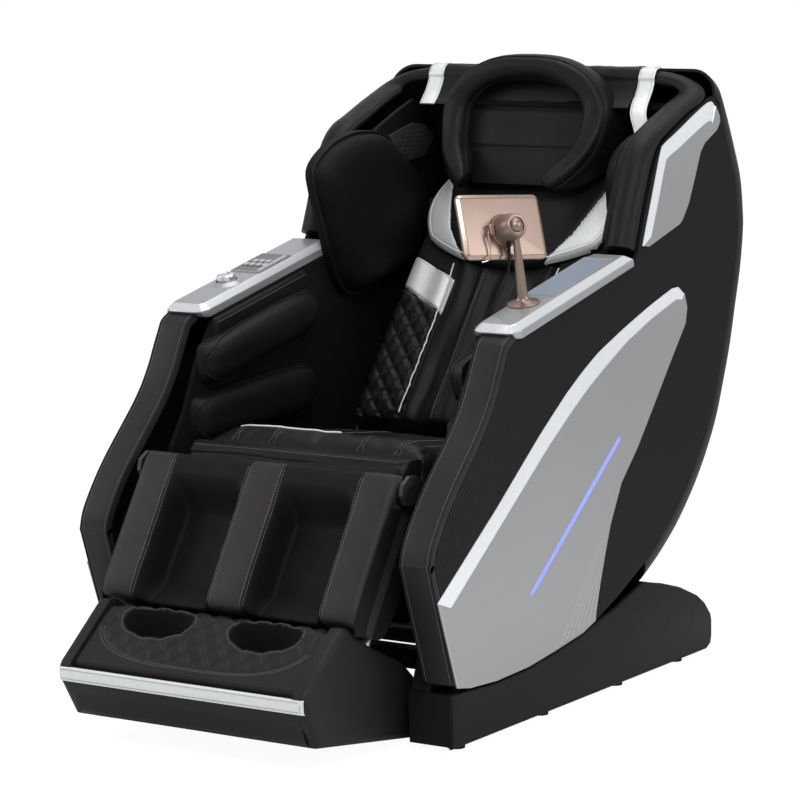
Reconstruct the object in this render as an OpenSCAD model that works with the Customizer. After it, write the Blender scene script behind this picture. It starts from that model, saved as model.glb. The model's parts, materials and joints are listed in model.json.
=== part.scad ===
// Reclining massage chair: a padded capsule that rocks on a curved track in a low base.
// Lengths are millimetres. +Z is up, the chair faces -Y and the sitter's left is +X.

/* [Capsule] */
// Width over the side panels
body_w = 780; // [740:2:820]
// Thickness of a side panel
panel_t = 8; // [6:1:12]
// Thickness of the back shell
shell_t = 6; // [4:0.5:9]
// Thickness of the silver fenders and upper trims
trim_t = 4; // [2:0.5:6]
// Thickness of the inner side walls
wall_t = 10; // [6:1:14]
// Thickness of the padded band on the front edge of each side
band_t = 16; // [10:1:22]

/* [Armrests] */
// Width of an armrest
arm_w = 100; // [86:2:110]
// Thickness of an armrest
arm_t = 28; // [22:1:34]
// Length of an armrest along its slope
arm_l = 472; // [440:2:490]
// Slope of the armrests
arm_pitch = 12.7; // [10:0.1:15]
// Diameter of the control knob
knob_d = 38; // [30:1:44]
// Height of the control knob
knob_h = 18; // [12:1:24]
// Diameter of the shaft under the control knob
knob_shaft_d = 8; // [6:0.5:12]
// Width of a control button
button_w = 11; // [8:0.5:12]
// Length of a control button
button_l = 15; // [10:0.5:17]
// Travel of a control button
button_travel = 0.8; // [0.5:0.1:1.2]

/* [Tablet] */
// Length of the tablet post
post_l = 150; // [120:5:180]
// Diameter of the foot of the tablet post
post_d = 20; // [16:1:26]
// Diameter of the flange under the tablet post
flange_d = 62; // [50:1:70]
// Diameter of the ball at the top of the post
ball_d = 30; // [24:1:36]
// Width of the tablet
tablet_w = 190; // [170:2:220]
// Height of the tablet
tablet_h = 125; // [110:1:140]
// Thickness of the tablet
tablet_t = 12; // [8:1:16]
// Diameter of the tablet's lead
cord_d = 4; // [3:0.5:5]

/* [Seat and back] */
// Width of the seat cushion
seat_w = 520; // [480:4:540]
// Length of the seat cushion
seat_l = 505; // [470:5:515]
// Thickness of the seat cushion at its edges
seat_t = 88; // [76:2:96]
// Thickness of the back pad
back_t = 60; // [50:1:70]
// Width of the back pad
back_w = 480; // [440:4:500]
// Lean of the backrest from the vertical
back_lean = 38.4; // [36:0.2:41]
// Diameter of the guide rods behind the back pad
rod_d = 18; // [14:1:22]
// Distance between the guide rods
rod_gap = 220; // [180:5:260]
// Diameter of a kneading roller
knead_d = 46; // [38:1:50]

/* [Tilt track] */
// Radius of the rolling face of the track
track_r = 700; // [690:2:712]
// Width of a track
track_w = 24; // [18:1:30]
// Distance between the middles of the two tracks
track_gap = 370; // [340:5:400]
// Diameter of a track roller
roller_d = 35.4; // [32:0.2:37]
// Diameter of the axle of a pair of track rollers
axle_d = 14; // [10:1:18]

/* [Leg rest] */
// Width of the calf unit
calf_w = 566; // [540:2:576]
// Width of a padded ridge between the calf channels
ridge_w = 74; // [60:2:84]
// Lean of the leg rest from the vertical
leg_lean = 31.9; // [30:0.1:34]
// Diameter of the tube at the leg rest hinge
hinge_tube_d = 34; // [28:1:38]
// Diameter of the pins at the leg rest hinge
hinge_pin_d = 16; // [12:1:20]
// Width of the footrest
foot_w = 544; // [520:2:560]
// Diameter of the footrest's slide rods
slide_rod_d = 18; // [14:1:20]
// Diameter of the sole massage roller
sole_d = 44; // [36:1:48]

/* [Base] */
// Thickness of the base side covers
cover_t = 8; // [5:1:10]
// Side of a square base tube
tube = 40; // [34:2:44]
// Height of the rubber feet
foot_h = 10; // [8:1:12]
// Diameter of a transport wheel
wheel_d = 46; // [42:1:50]
// Clearance between a part and what it turns or slides in
fit = 0.3; // [0.2:0.05:0.4]

/* [Hidden] */
$fn = 48;

// Y of the footprint's middle in the numbers below; centred() brings it to the origin
mid_y = 42;
soft_gap = 0.3;
half_w = body_w/2;
inner_x = half_w - 90;
arm_mid = half_w + 10 - arm_w/2;

// Rear outline of the shell on its middle plane, from under the seat up to the crown
spine = [
    [330, 183], [415, 214], [515, 269], [612, 352], [688, 450], [733, 540], [762, 616],
    [786, 702], [808, 782], [820, 866], [818, 918], [797, 1000], [752, 1080], [702, 1148],
    [658, 1190], [612, 1208]
];
// Radius of the shell's corner into the side at each of those points
turn_r = [58, 75, 90, 100, 105, 110, 110, 110, 110, 110, 110, 105, 98, 85, 70, 58];
// Front edge of the sides, from the armrest down to the floor end
front_edge = [
    [-202, 752], [-242, 733], [-260, 705], [-294, 639], [-338, 580], [-439, 477],
    [-494, 405], [-511, 362], [-504, 332], [-427, 127]
];
// Lower edge of the sides, from the front to where the shell starts
lower_edge = [
    [-374, 114], [-277, 109], [-158, 113], [-62, 124], [52, 140], [101, 153], [199, 189]
];
// Middle of the padded rim of the hood, side view, from the armrest up to the crown
rim_side = [[252, 866], [288, 960], [322, 1035], [356, 1074], [408, 1098], [485, 1130], [552, 1154]];
rim_half_depth = [26, 26, 24, 18, 14, 13, 13];

// Pivot of the tilt: the middle of the track's arc
tilt_y = 93;
tilt_z = 775;
// Angles of the track rollers on the capsule at rest, seen from the pivot
roller_angles = [-88, -74];
roller_path = track_r - fit - roller_d/2;
// Foot of the armrests' slope at their nose
arm_y = -226;
arm_z = 731;
// Rear edge of the seat cushion's underside and slope of the seat
seat_y = 180;
seat_z = 378;
seat_pitch = -6.2;
// Hinge of the leg rest, ahead of the seat's front edge
leg_y = seat_y - seat_l - 100;
leg_z = 475;
// Foot of the backrest's surface
back_y = 171;
back_z = 479;
// Place of the tablet post on its armrest, along the slope
post_at = 140;
knob_at = 155;
knob_x = 3;

function unit(v) = v/norm(v);
function turned(v) = [v[1], -v[0]];
function normal_at(p, i) = unit(turned(p[min(i + 1, len(p) - 1)] - p[max(i - 1, 0)]));
function inset(p, d) = [for (i = [0:len(p) - 1]) p[i] - normal_at(p, i)*d];
function reversed(p) = [for (i = [len(p) - 1:-1:0]) p[i]];
function without_first(p) = [for (i = [1:len(p) - 1]) p[i]];
function mix(a, b, t) = a + (b - a)*t;
function polar(r, a) = [tilt_y + r*cos(a), tilt_z + r*sin(a)];
// 1 in the middle of a strip, 0 on its two edges, with round shoulders
function crown(t, power = 4) = 1 - pow(abs(2*t - 1), power);
// A narrow groove of depth 1 centred on a
function groove(t, a, width) = exp(-pow((t - a)/width, 2));

// Where the shell's corner starts on the flat of the side
side_rear = [for (i = [0:len(spine) - 1]) spine[i] - normal_at(spine, i)*turn_r[i]];

module centred() translate([0, -mid_y, 0]) children();
module both() {
    children();
    mirror([1, 0, 0]) children();
}
// A shape drawn in (y, z) and made w thick from x
module side_plate(x, w) translate([x, 0, 0]) rotate([90, 0, 90]) linear_extrude(w) children();
// A rod along x through (y, z), from x to x + w
module cross_rod(x, w, y, z, d) translate([x, y, z]) rotate([0, 90, 0]) cylinder(d = d, h = w);
module on_arm(x) translate([x, arm_y, arm_z]) rotate([arm_pitch, 0, 0]) children();
module on_seat() translate([0, seat_y, seat_z]) rotate([seat_pitch, 0, 0]) children();
module on_back() translate([0, back_y, back_z]) rotate([-back_lean, 0, 0]) children();
module on_leg() translate([0, leg_y, leg_z]) rotate([-leg_lean, 0, 0]) children();

// Height of the armrests' underside
function arm_under(y) = arm_z + (y - arm_y)*tan(arm_pitch);

// A closed solid between two surfaces given as functions of u and v, each 0 to 1
module soft_solid(nu, nv, face, back) {
    row = nv + 1;
    count = (nu + 1)*row;
    points = concat(
        [for (i = [0:nu], j = [0:nv]) face(i/nu, j/nv)],
        [for (i = [0:nu], j = [0:nv]) back(i/nu, j/nv)]);
    faces = concat(
        [for (i = [0:nu - 1], j = [0:nv - 1]) let (a = i*row + j) each [
            [a, a + 1, a + row + 1], [a, a + row + 1, a + row],
            [count + a, count + a + row + 1, count + a + 1],
            [count + a, count + a + row, count + a + row + 1]]],
        [for (j = [0:nv - 1]) let (a = j, b = nu*row + j) each [
            [a, count + a, count + a + 1], [a, count + a + 1, a + 1],
            [b, count + b + 1, count + b], [b, b + 1, count + b + 1]]],
        [for (i = [0:nu - 1]) let (a = i*row, b = i*row + nv) each [
            [a, a + row, count + a + row], [a, count + a + row, count + a],
            [b, count + b + row, b + row], [b, count + b, count + b + row]]]);
    polyhedron(points, faces);
}

// An oval tube along a path; ra lies across the path in the plane of flat_to, rb along it
module oval_tube(path, ra, rb, flat_to, sides = 8) {
    last = len(path) - 1;
    function heading(i) = unit(path[min(i + 1, last)] - path[max(i - 1, 0)]);
    function across(i) = unit(cross(heading(i), flat_to));
    function upward(i) = cross(across(i), heading(i));
    points = [for (i = [0:last], k = [0:sides - 1])
        path[i] + across(i)*ra[i]*cos(360*k/sides) + upward(i)*rb[i]*sin(360*k/sides)];
    walls = [for (i = [0:last - 1], k = [0:sides - 1])
        let (a = i*sides + k, b = i*sides + (k + 1) % sides) each [
            [a, b, b + sides], [a, b + sides, a + sides]]];
    ends = [
        [for (k = [sides - 1:-1:0]) k],
        [for (k = [0:sides - 1]) last*sides + k]];
    polyhedron(points, concat(walls, ends));
}

// ---------------------------------------------------------------- base

module base_outline() polygon([
    [-406, 113], [-398, foot_h], [595, foot_h], [613, 19], [617, 35], [616, 69], [611, 83],
    [583, 111], [550, 131], [472, 161], [392, 182], [313, 197], [300, 196], [199, 168],
    [101, 149], [52, 136], [-62, 120], [-158, 109], [-277, 105], [-374, 110]]);

skid_x = half_w - cover_t - tube - 2;
skid_front = -388;
skid_end = 562;
base_cross_y = [-190, 120, 330];
wheel_y = skid_end + wheel_d/2 + 2;
wheel_z = wheel_d/2 + 1;
wheel_axle_d = 12;

module base_frame() color("dimgray") centred() {
    difference() {
        union() {
            both() translate([skid_x, skid_front, foot_h + 2]) cube([tube, skid_end - skid_front, tube]);
            for (y = base_cross_y)
                translate([-skid_x, y - tube/2, foot_h + 2]) cube([2*skid_x, tube, tube]);
            translate([-skid_x, skid_end - tube, foot_h + 2]) cube([2*skid_x, tube, tube]);
            both() translate([track_gap/2, 0, 0]) track_solid();
            both() side_plate(skid_x - 14, 10) wheel_ear();
        }
        both() cross_rod(skid_x - 20, 22, wheel_y, wheel_z, wheel_axle_d + 2*fit);
    }
}
module track_solid() {
    difference() {
        side_plate(-track_w/2, track_w) polygon([
            [-205, foot_h + 2 + tube], [365, foot_h + 2 + tube], [365, 131], [-205, 142]]);
        translate([0, tilt_y, tilt_z]) rotate([0, 90, 0])
            cylinder(r = track_r, h = 2*track_w, center = true, $fn = 180);
    }
}
// Ear of the wheel axle, clear of the rear cover's lower lip
module wheel_ear() polygon([
    [skid_end - tube, foot_h + 2], [skid_end + 24, foot_h + 2], [wheel_y + 10, wheel_z],
    [wheel_y + 10, wheel_z + 12], [skid_end - tube, foot_h + 2 + tube]]);

module base_sides() color("#1c1c1e") centred() both()
    side_plate(half_w - cover_t, cover_t) base_outline();

module base_rear_cover() color("#1c1c1e") centred() difference() {
    side_plate(-(half_w - cover_t), body_w - 2*cover_t) polygon([
        [595, foot_h + 3], [613, 19], [617, 35], [616, 69], [611, 83], [583, 111], [550, 131],
        [472, 161], [420, 175], [420, 167], [470, 153], [546, 123], [577, 105], [603, 79],
        [608, 68], [609, 36], [606, 24], [592, foot_h + 8]]);
    translate([power_x - power_w/2, 595, 34]) cube([power_w, 40, 40]);
    both() translate([skid_x - 38, 540, 0]) cube([24, 100, wheel_d + 6]);
}

module base_feet() color("#101010") centred()
    for (x = [-1, 1], y = [-370, -60, 240, 500])
        translate([x*(skid_x + tube/2), y, 0]) {
            cylinder(d = 34, h = foot_h);
            translate([0, 0, foot_h]) cylinder(d = 12, h = 2);
        }

// Power supply with its rear plate in the opening of the rear cover
power_x = -195;
power_w = 110;
module power_box() color("#2b2b2d") centred() difference() {
    translate([power_x - power_w/2 + fit, skid_end + fit, 34 + fit])
        cube([power_w - 2*fit, 48, 40 - 2*fit]);
    translate([power_x - 40, 598, 42]) cube([30, 20, 24]);
    translate([power_x + 10, 596, 42]) cube([26, 20, 24]);
}

module mains_inlet() color("#151515") centred() difference() {
    translate([power_x - 40 + fit, 598, 42 + fit]) cube([30 - 2*fit, 13, 24 - 2*fit]);
    translate([power_x - 36, 602, 46]) cube([22, 20, 16]);
}

rocker_z = 54;
module power_switch() color("#202020") centred() {
    cross_rod(power_x + 10 + fit, 26 - 2*fit, 606, rocker_z, 7);
    side_plate(power_x + 12, 22) polygon([
        [604, rocker_z - 8], [610.5, rocker_z - 8], [609.5, rocker_z], [612.5, rocker_z + 8],
        [604, rocker_z + 8]]);
}

module transport_wheels() color("#26262a") centred() {
    both() difference() {
        cross_rod(skid_x - 36, 20, wheel_y, wheel_z, wheel_d);
        cross_rod(skid_x - 38, 24, wheel_y, wheel_z, wheel_axle_d);
    }
    cross_rod(-(skid_x - 3), 2*(skid_x - 3), wheel_y, wheel_z, wheel_axle_d);
}

// ---------------------------------------------------------------- capsule frame

beam_x = track_gap/2 - 25;
beam_w = 50;
module axle_hole(a) {
    c = polar(roller_path, a);
    cross_rod(-half_w, body_w, c[0], c[1], axle_d + 2*fit);
}
module fork_plate(x) {
    top = track_r - 45;
    low = track_r - 5;
    front = roller_angles[0];
    rear = roller_angles[1];
    side_plate(x, 6) polygon([
        [40, 345], polar(top, front - 5), polar(low, front - 3), polar(low, front + 3),
        polar(top, front + 5), polar(top, rear - 5), polar(low, rear - 2.5), polar(low, rear + 2.5),
        polar(top, rear + 3), [330, 300], [330, 320], [40, 350]]);
}
cross_tubes = [[-300, 405], [60, 358], [400, 330]];
module seat_frame() color("#3a3a3d") centred() difference() {
    union() {
        both() on_seat() translate([beam_x, -500, -50]) cube([beam_w, 720, 40]);
        for (p = cross_tubes) cross_rod(-(half_w - panel_t), 2*(half_w - panel_t), p[0], p[1], 30);
        both() for (x = [beam_x, beam_x + beam_w - 6]) fork_plate(x);
        on_seat() translate([-(seat_w/2 - 6), -496, -10]) cube([seat_w - 12, 490, 10]);
        both() side_plate(calf_w/2 + 5, 8) polygon([
            [-285, 385], [-285, 424], [leg_y + 25, leg_z + 25], [leg_y, leg_z + 28],
            [leg_y - 23, leg_z + 15], [leg_y - 28, leg_z - 5], [leg_y - 17, leg_z - 23],
            [leg_y, leg_z - 28], [leg_y + 25, leg_z - 23]]);
    }
    both() cross_rod(calf_w/2, 40, leg_y, leg_z, hinge_pin_d + 2*fit);
    for (a = roller_angles) axle_hole(a);
}

module track_roller_pair(a) {
    c = polar(roller_path, a);
    both() difference() {
        cross_rod(track_gap/2 - track_w/2, track_w, c[0], c[1], roller_d);
        cross_rod(track_gap/2 - track_w, 2*track_w, c[0], c[1], axle_d);
    }
    cross_rod(-(beam_x + beam_w + 6), 2*(beam_x + beam_w + 6), c[0], c[1], axle_d);
}
module track_rollers_front() color("silver") centred() track_roller_pair(roller_angles[0]);
module track_rollers_rear() color("silver") centred() track_roller_pair(roller_angles[1]);

module tilt_motor() color("#54565a") centred() {
    side_plate(beam_x - 70, 70) polygon([[85, 270], [175, 270], [175, 318], [85, 328]]);
    cross_rod(beam_x - 150, 80, 130, 296, 50);
}

upright_x = 222;
upright_w = 28;
rod_y = 150;
module back_frame() color("#3a3a3d") centred() on_back() difference() {
    union() {
        both() translate([upright_x, back_t + soft_gap, -66]) cube([upright_w, 30, 696]);
        for (z = [20, 560]) {
            both() translate([rod_gap/2 - 20, back_t + soft_gap, z])
                cube([upright_x - rod_gap/2 + 21, 24, 30]);
            both() translate([rod_gap/2 - 20, back_t + soft_gap, z])
                cube([40, rod_y + 20 - back_t, 30]);
        }
        translate([-(half_w - panel_t), 70, 590]) cube([2*(half_w - panel_t), 20, 30]);
    }
    both() translate([rod_gap/2, rod_y, 0]) cylinder(d = rod_d + 0.02, h = 700);
}

module back_rods() color("silver") centred() on_back()
    both() translate([rod_gap/2, rod_y, 14]) cylinder(d = rod_d, h = 582);

carriage_z = 70;
module massage_carriage() color("#4a4c50") centred() on_back() difference() {
    union() {
        translate([-(rod_gap/2 + 22), rod_y - 20, carriage_z]) cube([rod_gap + 44, 40, 110]);
        translate([-60, rod_y + 20, carriage_z + 20]) cube([120, 50, 70]);
        for (x = [-72, -34, 22, 60])
            translate([x, back_t + 46, carriage_z + 38]) cube([12, rod_y - 20 - back_t - 46 + 1, 34]);
    }
    both() translate([rod_gap/2, rod_y, 0]) cylinder(d = rod_d + 2*fit, h = 400);
    translate([-90, back_t + 58, carriage_z + 55]) rotate([0, 90, 0]) cylinder(d = 12 + 2*fit, h = 180);
}

knead_reach = 44;
module massage_heads() color("#d8cfc4") centred() on_back() {
    translate([-80, back_t + 58, carriage_z + 55]) rotate([0, 90, 0]) cylinder(d = 12, h = 160);
    both() translate([41, back_t + 30, carriage_z + 55]) rotate([0, 90, 0])
        linear_extrude(12) {
            translate([-knead_reach, -8]) square([2*knead_reach, 16]);
            translate([-12, -8]) square([24, 44]);
        }
    both() for (s = [-1, 1])
        translate([36, back_t + 30, carriage_z + 55 + s*knead_reach]) rotate([0, 90, 0])
            cylinder(d = knead_d, h = 22);
}

// Pump on a plate between the fork plates
module air_pump() color("#5b5d61") centred() on_seat() {
    translate([-beam_x, 30, -54]) cube([2*beam_x, 110, 4]);
    translate([-55, 20, -96]) cube([110, 130, 42]);
    translate([-90, 56, -78]) rotate([0, 90, 0]) cylinder(d = 34, h = 180);
}

// ---------------------------------------------------------------- capsule casing

module back_shell() color("#1a1a1c") centred() shell_solid();
module shell_solid() {
    stations = len(spine) - 1;
    arc_steps = 5;
    function slot(v) = stations - round(v*stations);
    function arm(u) = round(u*2*(arc_steps + 1));
    function shell_point(u, v, t) =
        let (i = slot(v), k = arm(u), side = k <= arc_steps ? -1 : 1,
            step = k <= arc_steps ? k : 2*(arc_steps + 1) - k,
            a = min(step, arc_steps)*90/arc_steps, r = turn_r[i] - t,
            out = side_rear[i] + normal_at(spine, i)*r*sin(a),
            x = step > arc_steps ? 0 : half_w - turn_r[i] + r*cos(a))
        [side*x, out[0], out[1]];
    soft_solid(2*(arc_steps + 1), stations,
        function(u, v) shell_point(u, v, 0), function(u, v) shell_point(u, v, shell_t));
}

panel_front = inset(front_edge, band_t);
// Rear edge of the padded rim, which the side panel meets
rim_sides = 10;
rim_seat = [for (i = [0:len(rim_side) - 1])
    rim_side[i] + normal_at(rim_side, i)*(rim_half_depth[i]*sin(360/rim_sides) + 2*soft_gap)];
module panel_outline() polygon(concat(
    without_first(panel_front), lower_edge, side_rear,
    reversed(rim_seat),
    [[250, arm_under(250)], [-192, arm_under(-192)]]));

module side_panel() difference() {
    side_plate(half_w - panel_t, panel_t) panel_outline();
    side_plate(half_w - 1.5, 4) led_line(5 + 2*fit);
}
module side_panel_left() color("#2a2a2c") centred() side_panel();
module side_panel_right() color("#2a2a2c") centred() mirror([1, 0, 0]) side_panel();

led_ends = [[-157, 249], [193, 505]];
module led_line(w) {
    d = unit(led_ends[1] - led_ends[0]);
    n = turned(d)*w/2;
    polygon([led_ends[0] + n, led_ends[1] + n, led_ends[1] - n, led_ends[0] - n]);
}
module fenders() color("#9a9c9c") centred() both() difference() {
    side_plate(half_w, trim_t) polygon([
        [-420, 123], [-487, 289], [-279, 431], [-117, 549], [-18, 614], [44, 649], [108, 680],
        [209, 716], [318, 751], [412, 777], [438, 780], [464, 764], [478, 735], [471, 701],
        [407, 630], [335, 548], [269, 474], [203, 413], [159, 336], [139, 283], [120, 229],
        [104, 174], [101, 156], [52, 141], [-62, 125], [-158, 114], [-277, 110], [-374, 115]]);
    side_plate(half_w - 1, trim_t + 2) led_line(5 + 2*fit);
}
module led_strips() color("#8f95ff") centred() both()
    side_plate(half_w - 1.5, trim_t + 1) led_line(5);

module upper_trims() color("#9a9c9c") centred() both()
    side_plate(half_w, trim_t) polygon([
        [285, 872], [322, 965], [357, 1052], [374, 1068], [424, 1088], [560, 1142], [594, 1134],
        [612, 1114], [614, 1102], [600, 1086], [546, 1062], [527, 1044], [503, 994], [478, 945],
        [452, 914], [439, 905], [307, 869]]);

module front_bands() color("#242426") centred() both()
    side_plate(half_w - 65, 65 - soft_gap) polygon(concat(
        without_first(front_edge), reversed(without_first(inset(front_edge, band_t - soft_gap)))));

// Plan of an armrest: round nose at the front, narrower tail
module arm_plan(grow) {
    w = arm_w/2 + grow;
    polygon([
        [-w + 22, -grow], [w - 22, -grow], [w - 8, 8], [w, 26], [w, arm_l + grow],
        [-w + 10, arm_l + grow], [-w, arm_l - 40], [-w, 26], [-w + 8, 8]]);
}
module armrest_body() difference() {
    linear_extrude(arm_t) arm_plan(0);
    translate([-arm_w/2 - 1, -1, -1]) rotate([38, 0, 0]) translate([0, -60, -30]) cube([arm_w + 2, 60, 60]);
}
module armrest_left() color("#c3c5c7") centred() on_arm(arm_mid) difference() {
    armrest_body();
    translate([-10, post_at, -1]) cylinder(d = post_d + 2*fit, h = arm_t + 2);
    translate([-arm_w/2 + 14, 190, arm_t - 4]) cube([62, 240, 10]);
}
module armrest_right() color("#c3c5c7") centred() on_arm(-arm_mid) difference() {
    armrest_body();
    translate([knob_x, knob_at, -1]) cylinder(d = knob_shaft_d + 2*fit, h = arm_t + 2);
    translate([-32 - fit, 225 - fit, arm_t - 5]) cube([66 + 2*fit, 112 + 2*fit, 10]);
}
module charge_tray() color("#aab3c0") centred() on_arm(arm_mid)
    translate([-arm_w/2 + 14 + fit, 190 + fit, arm_t - 4]) difference() {
        cube([62 - 2*fit, 240 - 2*fit, 3]);
        translate([6, 60, 1.5]) cube([50, 170, 5]);
    }

// Button positions on the control plate: three above four
button_pitch = 15;
button_row = 23;
function button_place(i) = i < 3
    ? [-1 - button_pitch + i*button_pitch, 290]
    : [-1 - 1.5*button_pitch + (i - 3)*button_pitch, 290 - button_row];
module control_display() color("#17171a") centred() on_arm(-arm_mid) difference() {
    translate([-32, 225, arm_t - 5]) cube([66, 112, 7]);
    for (i = [0:6]) translate(concat(button_place(i), [arm_t - 1]))
        translate([-button_w/2 - fit, -button_l/2 - fit, 0]) cube([button_w + 2*fit, button_l + 2*fit, 8]);
}
module control_button(i) color("#8e9194") centred() on_arm(-arm_mid)
    translate(concat(button_place(i), [arm_t - 1 + button_travel + 0.2])) difference() {
        translate([-button_w/2, -button_l/2, 0]) cube([button_w, button_l, 4.5]);
        translate([0, 0, 24]) rotate([90, 0, 0]) cylinder(r = 20, h = 40, center = true);
    }
module button_1() control_button(0);
module button_2() control_button(1);
module button_3() control_button(2);
module button_4() control_button(3);
module button_5() control_button(4);
module button_6() control_button(5);
module button_7() control_button(6);

module control_knob() color("#b9bcbe") centred() on_arm(-arm_mid) translate([knob_x, knob_at, 0]) {
    cylinder(d = knob_shaft_d, h = arm_t + 2);
    translate([0, 0, arm_t + fit]) difference() {
        union() {
            cylinder(d = knob_d, h = knob_h - 3);
            translate([0, 0, knob_h - 3]) cylinder(d1 = knob_d, d2 = knob_d - 6, h = 3);
        }
        for (a = [0:15:345]) rotate(a) translate([knob_d/2 + 0.4, 0, 2])
            cylinder(d = 2.4, h = knob_h, $fn = 16);
    }
}

// ---------------------------------------------------------------- tablet

post_x = arm_mid - 10;
ball_z = arm_t + 2 + post_l;
module tablet_post() color("#b4a094") centred() on_arm(post_x) translate([0, post_at, 0]) {
    cylinder(d = post_d, h = arm_t + 6);
    translate([0, 0, arm_t + fit]) cylinder(d = flange_d, h = 3);
    translate([0, 0, arm_t + 3 + fit]) cylinder(d1 = flange_d - 8, d2 = post_d + 4, h = 5);
    translate([0, 0, arm_t + 6]) cylinder(d1 = post_d, d2 = 12, h = post_l - 14);
    translate([0, 0, ball_z]) sphere(d = ball_d);
}
// The tablet's own frame: origin at the ball, x across the screen, y up it, z out of its back
tablet_turn = 67;
tablet_tip = 71;
tablet_roll = -2;
back_gap = 36;
module on_ball() on_arm(post_x) translate([0, post_at, ball_z]) rotate([-arm_pitch, 0, 0])
    rotate([0, 0, tablet_turn]) rotate([tablet_tip, 0, 0]) rotate([0, 0, tablet_roll]) children();
module tablet_case() color("#b4a094") centred() on_ball() difference() {
    union() {
        translate([-tablet_w/2, -54, -back_gap - tablet_t]) rounded_slab(tablet_w, tablet_h, tablet_t, 12);
        translate([0, 0, -back_gap]) cylinder(d = 64, h = 5);
        translate([0, 0, -back_gap]) cylinder(d1 = 58, d2 = 42, h = back_gap + 8);
    }
    sphere(d = ball_d + 2*fit);
    translate([0, -24, 0]) cube([32, 60, 2*back_gap], center = true);
}
module rounded_slab(w, h, t, r) hull() for (x = [r, w - r], y = [r, h - r])
    translate([x, y, 0]) cylinder(r = r, h = t, $fn = 32);

module tablet_plug() color("#151515") centred() translate(plug_at) cylinder(d1 = 6, d2 = 9, h = 26);
plug_at = [330, -133, 888];
// Middle of the tablet's lead from its plug down to the socket on the arm's inner wall
cord_route = [
    [330, -133, 888], [330, -133, 876], [330.5, -133, 864], [329, -133.5, 851], [325, -134.5, 837],
    [319, -136, 822], [311, -138, 807], [302, -140, 791], [293, -141, 774], [284.5, -142, 755],
    [276, -142, 735], [267.5, -142, 715], [259.5, -141.5, 697], [253, -141, 680], [250.2, -140, 662],
    [249.8, -139, 646], [251.5, -138, 633], [256, -137, 623], [264, -136, 616.5],
    [274, -135.5, 613.5], [288, -135, 613]
];
module tablet_cord() color("#111111") centred() oval_tube(cord_route,
    [for (p = cord_route) cord_d/2], [for (p = cord_route) cord_d/2], [1, 0.2, 0]);

// ---------------------------------------------------------------- inner walls

inner_outline = [
    [-214, 700], [-246, 656], [-290, 560], [-330, 500], [-352, 452], [-345, 424],
    [-322, 402], [-270, 380], [60, 336], [330, 300], [470, 330], [560, 430], [600, 560],
    [560, 760], [420, 862]
];
module arm_inners() color("#1d1d1f") centred() {
    both() difference() {
        side_plate(inner_x, wall_t) polygon(concat(
            [[-182, arm_under(-182)]],
            inner_outline,
            [[400, 834], [300, 834], [240, arm_under(240)]]));
        for (p = cross_tubes) cross_rod(0, half_w, p[0], p[1], 30 + 2*fit);
    }
    // Socket that the lead plugs into
    translate([inner_x - 12, -146, 604]) cube([12, 22, 17]);
}

module arm_pad_shape(length, height, depth) soft_solid(10, 5,
    function(u, v) [mix(10, length - 10, u) + (v - 0.5)*12, mix(6, height - 6, v),
        depth*(0.35 + 0.65*pow(crown(u, 8)*crown(v, 3), 0.5))],
    function(u, v) [length*u + (v - 0.5)*12, height*v, 0]);
module arm_pads() color("#202022") centred() both() {
    translate([inner_x - soft_gap, 130, 752]) rotate([90, 0, -90]) rotate([0, 0, -arm_pitch])
        mirror([0, 1, 0]) arm_pad_shape(370, 64, 46);
    translate([inner_x - soft_gap, 140, 620]) rotate([90, 0, -90]) rotate([0, 0, -4])
        mirror([0, 1, 0]) arm_pad_shape(400, 76, 40);
}

// Outline of a shoulder pad, side view
shoulder_ring = [
    [133, 1010], [190, 1052], [264, 1074], [330, 1078], [390, 1070], [458, 1032], [530, 975],
    [572, 916], [545, 850], [498, 796], [400, 764], [289, 740], [235, 762], [195, 830],
    [160, 915], [140, 960]
];
shoulder_rear = 572;
// The pad on the sitter's left lies folded back over the speaker, to this share of its length
folded = 0.44;
speaker_t = 6;
pad_depth = 49;
module shoulder_pad(share, off, depth) side_plate(inner_x - soft_gap - off - depth, depth) polygon([
    for (p = shoulder_ring) [shoulder_rear + (p[0] - shoulder_rear)*share, p[1]]]);
module shoulder_pads() color("#1b1b1d") centred() {
    mirror([1, 0, 0]) shoulder_pad(1, 0, pad_depth);
    shoulder_pad(folded, speaker_t, pad_depth - 10);
}

module hood_lining() color("#1b1b1d") centred() {
    both() difference() {
        side_plate(inner_x, wall_t) polygon([
            [300, 835], [400, 835], [420, 863], [561, 761], [590, 700], [640, 760], [700, 860],
            [690, 960], [650, 1050], [600, 1120], [552, 1136], [485, 1112], [408, 1080],
            [372, 1058], [345, 1026], [316, 960], [285, 880]]);
        on_back() translate([0, 70 - fit, 590 - fit]) cube([half_w, 20 + 2*fit, 30 + 2*fit]);
    }
    side_plate(-inner_x, 2*inner_x) polygon([
        [700, 860], [690, 960], [650, 1050], [600, 1120], [590, 1124], [590, 1138], [606, 1134],
        [660, 1056], [701, 962], [711, 860]]);
}

module speaker_grilles() color("#303033") centred() both() {
    intersection() {
        side_plate(inner_x - speaker_t, speaker_t) polygon([
            [440, 1062], [538, 1086], [590, 1080], [630, 1052], [586, 1012], [500, 1002]]);
        union() {
            side_plate(inner_x - 3, 3) square([800, 1200]);
            for (i = [0:9]) side_plate(inner_x - 6, 4)
                translate([430 + 21*i, 990]) rotate(-18) square([9, 120]);
        }
    }
}

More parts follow.
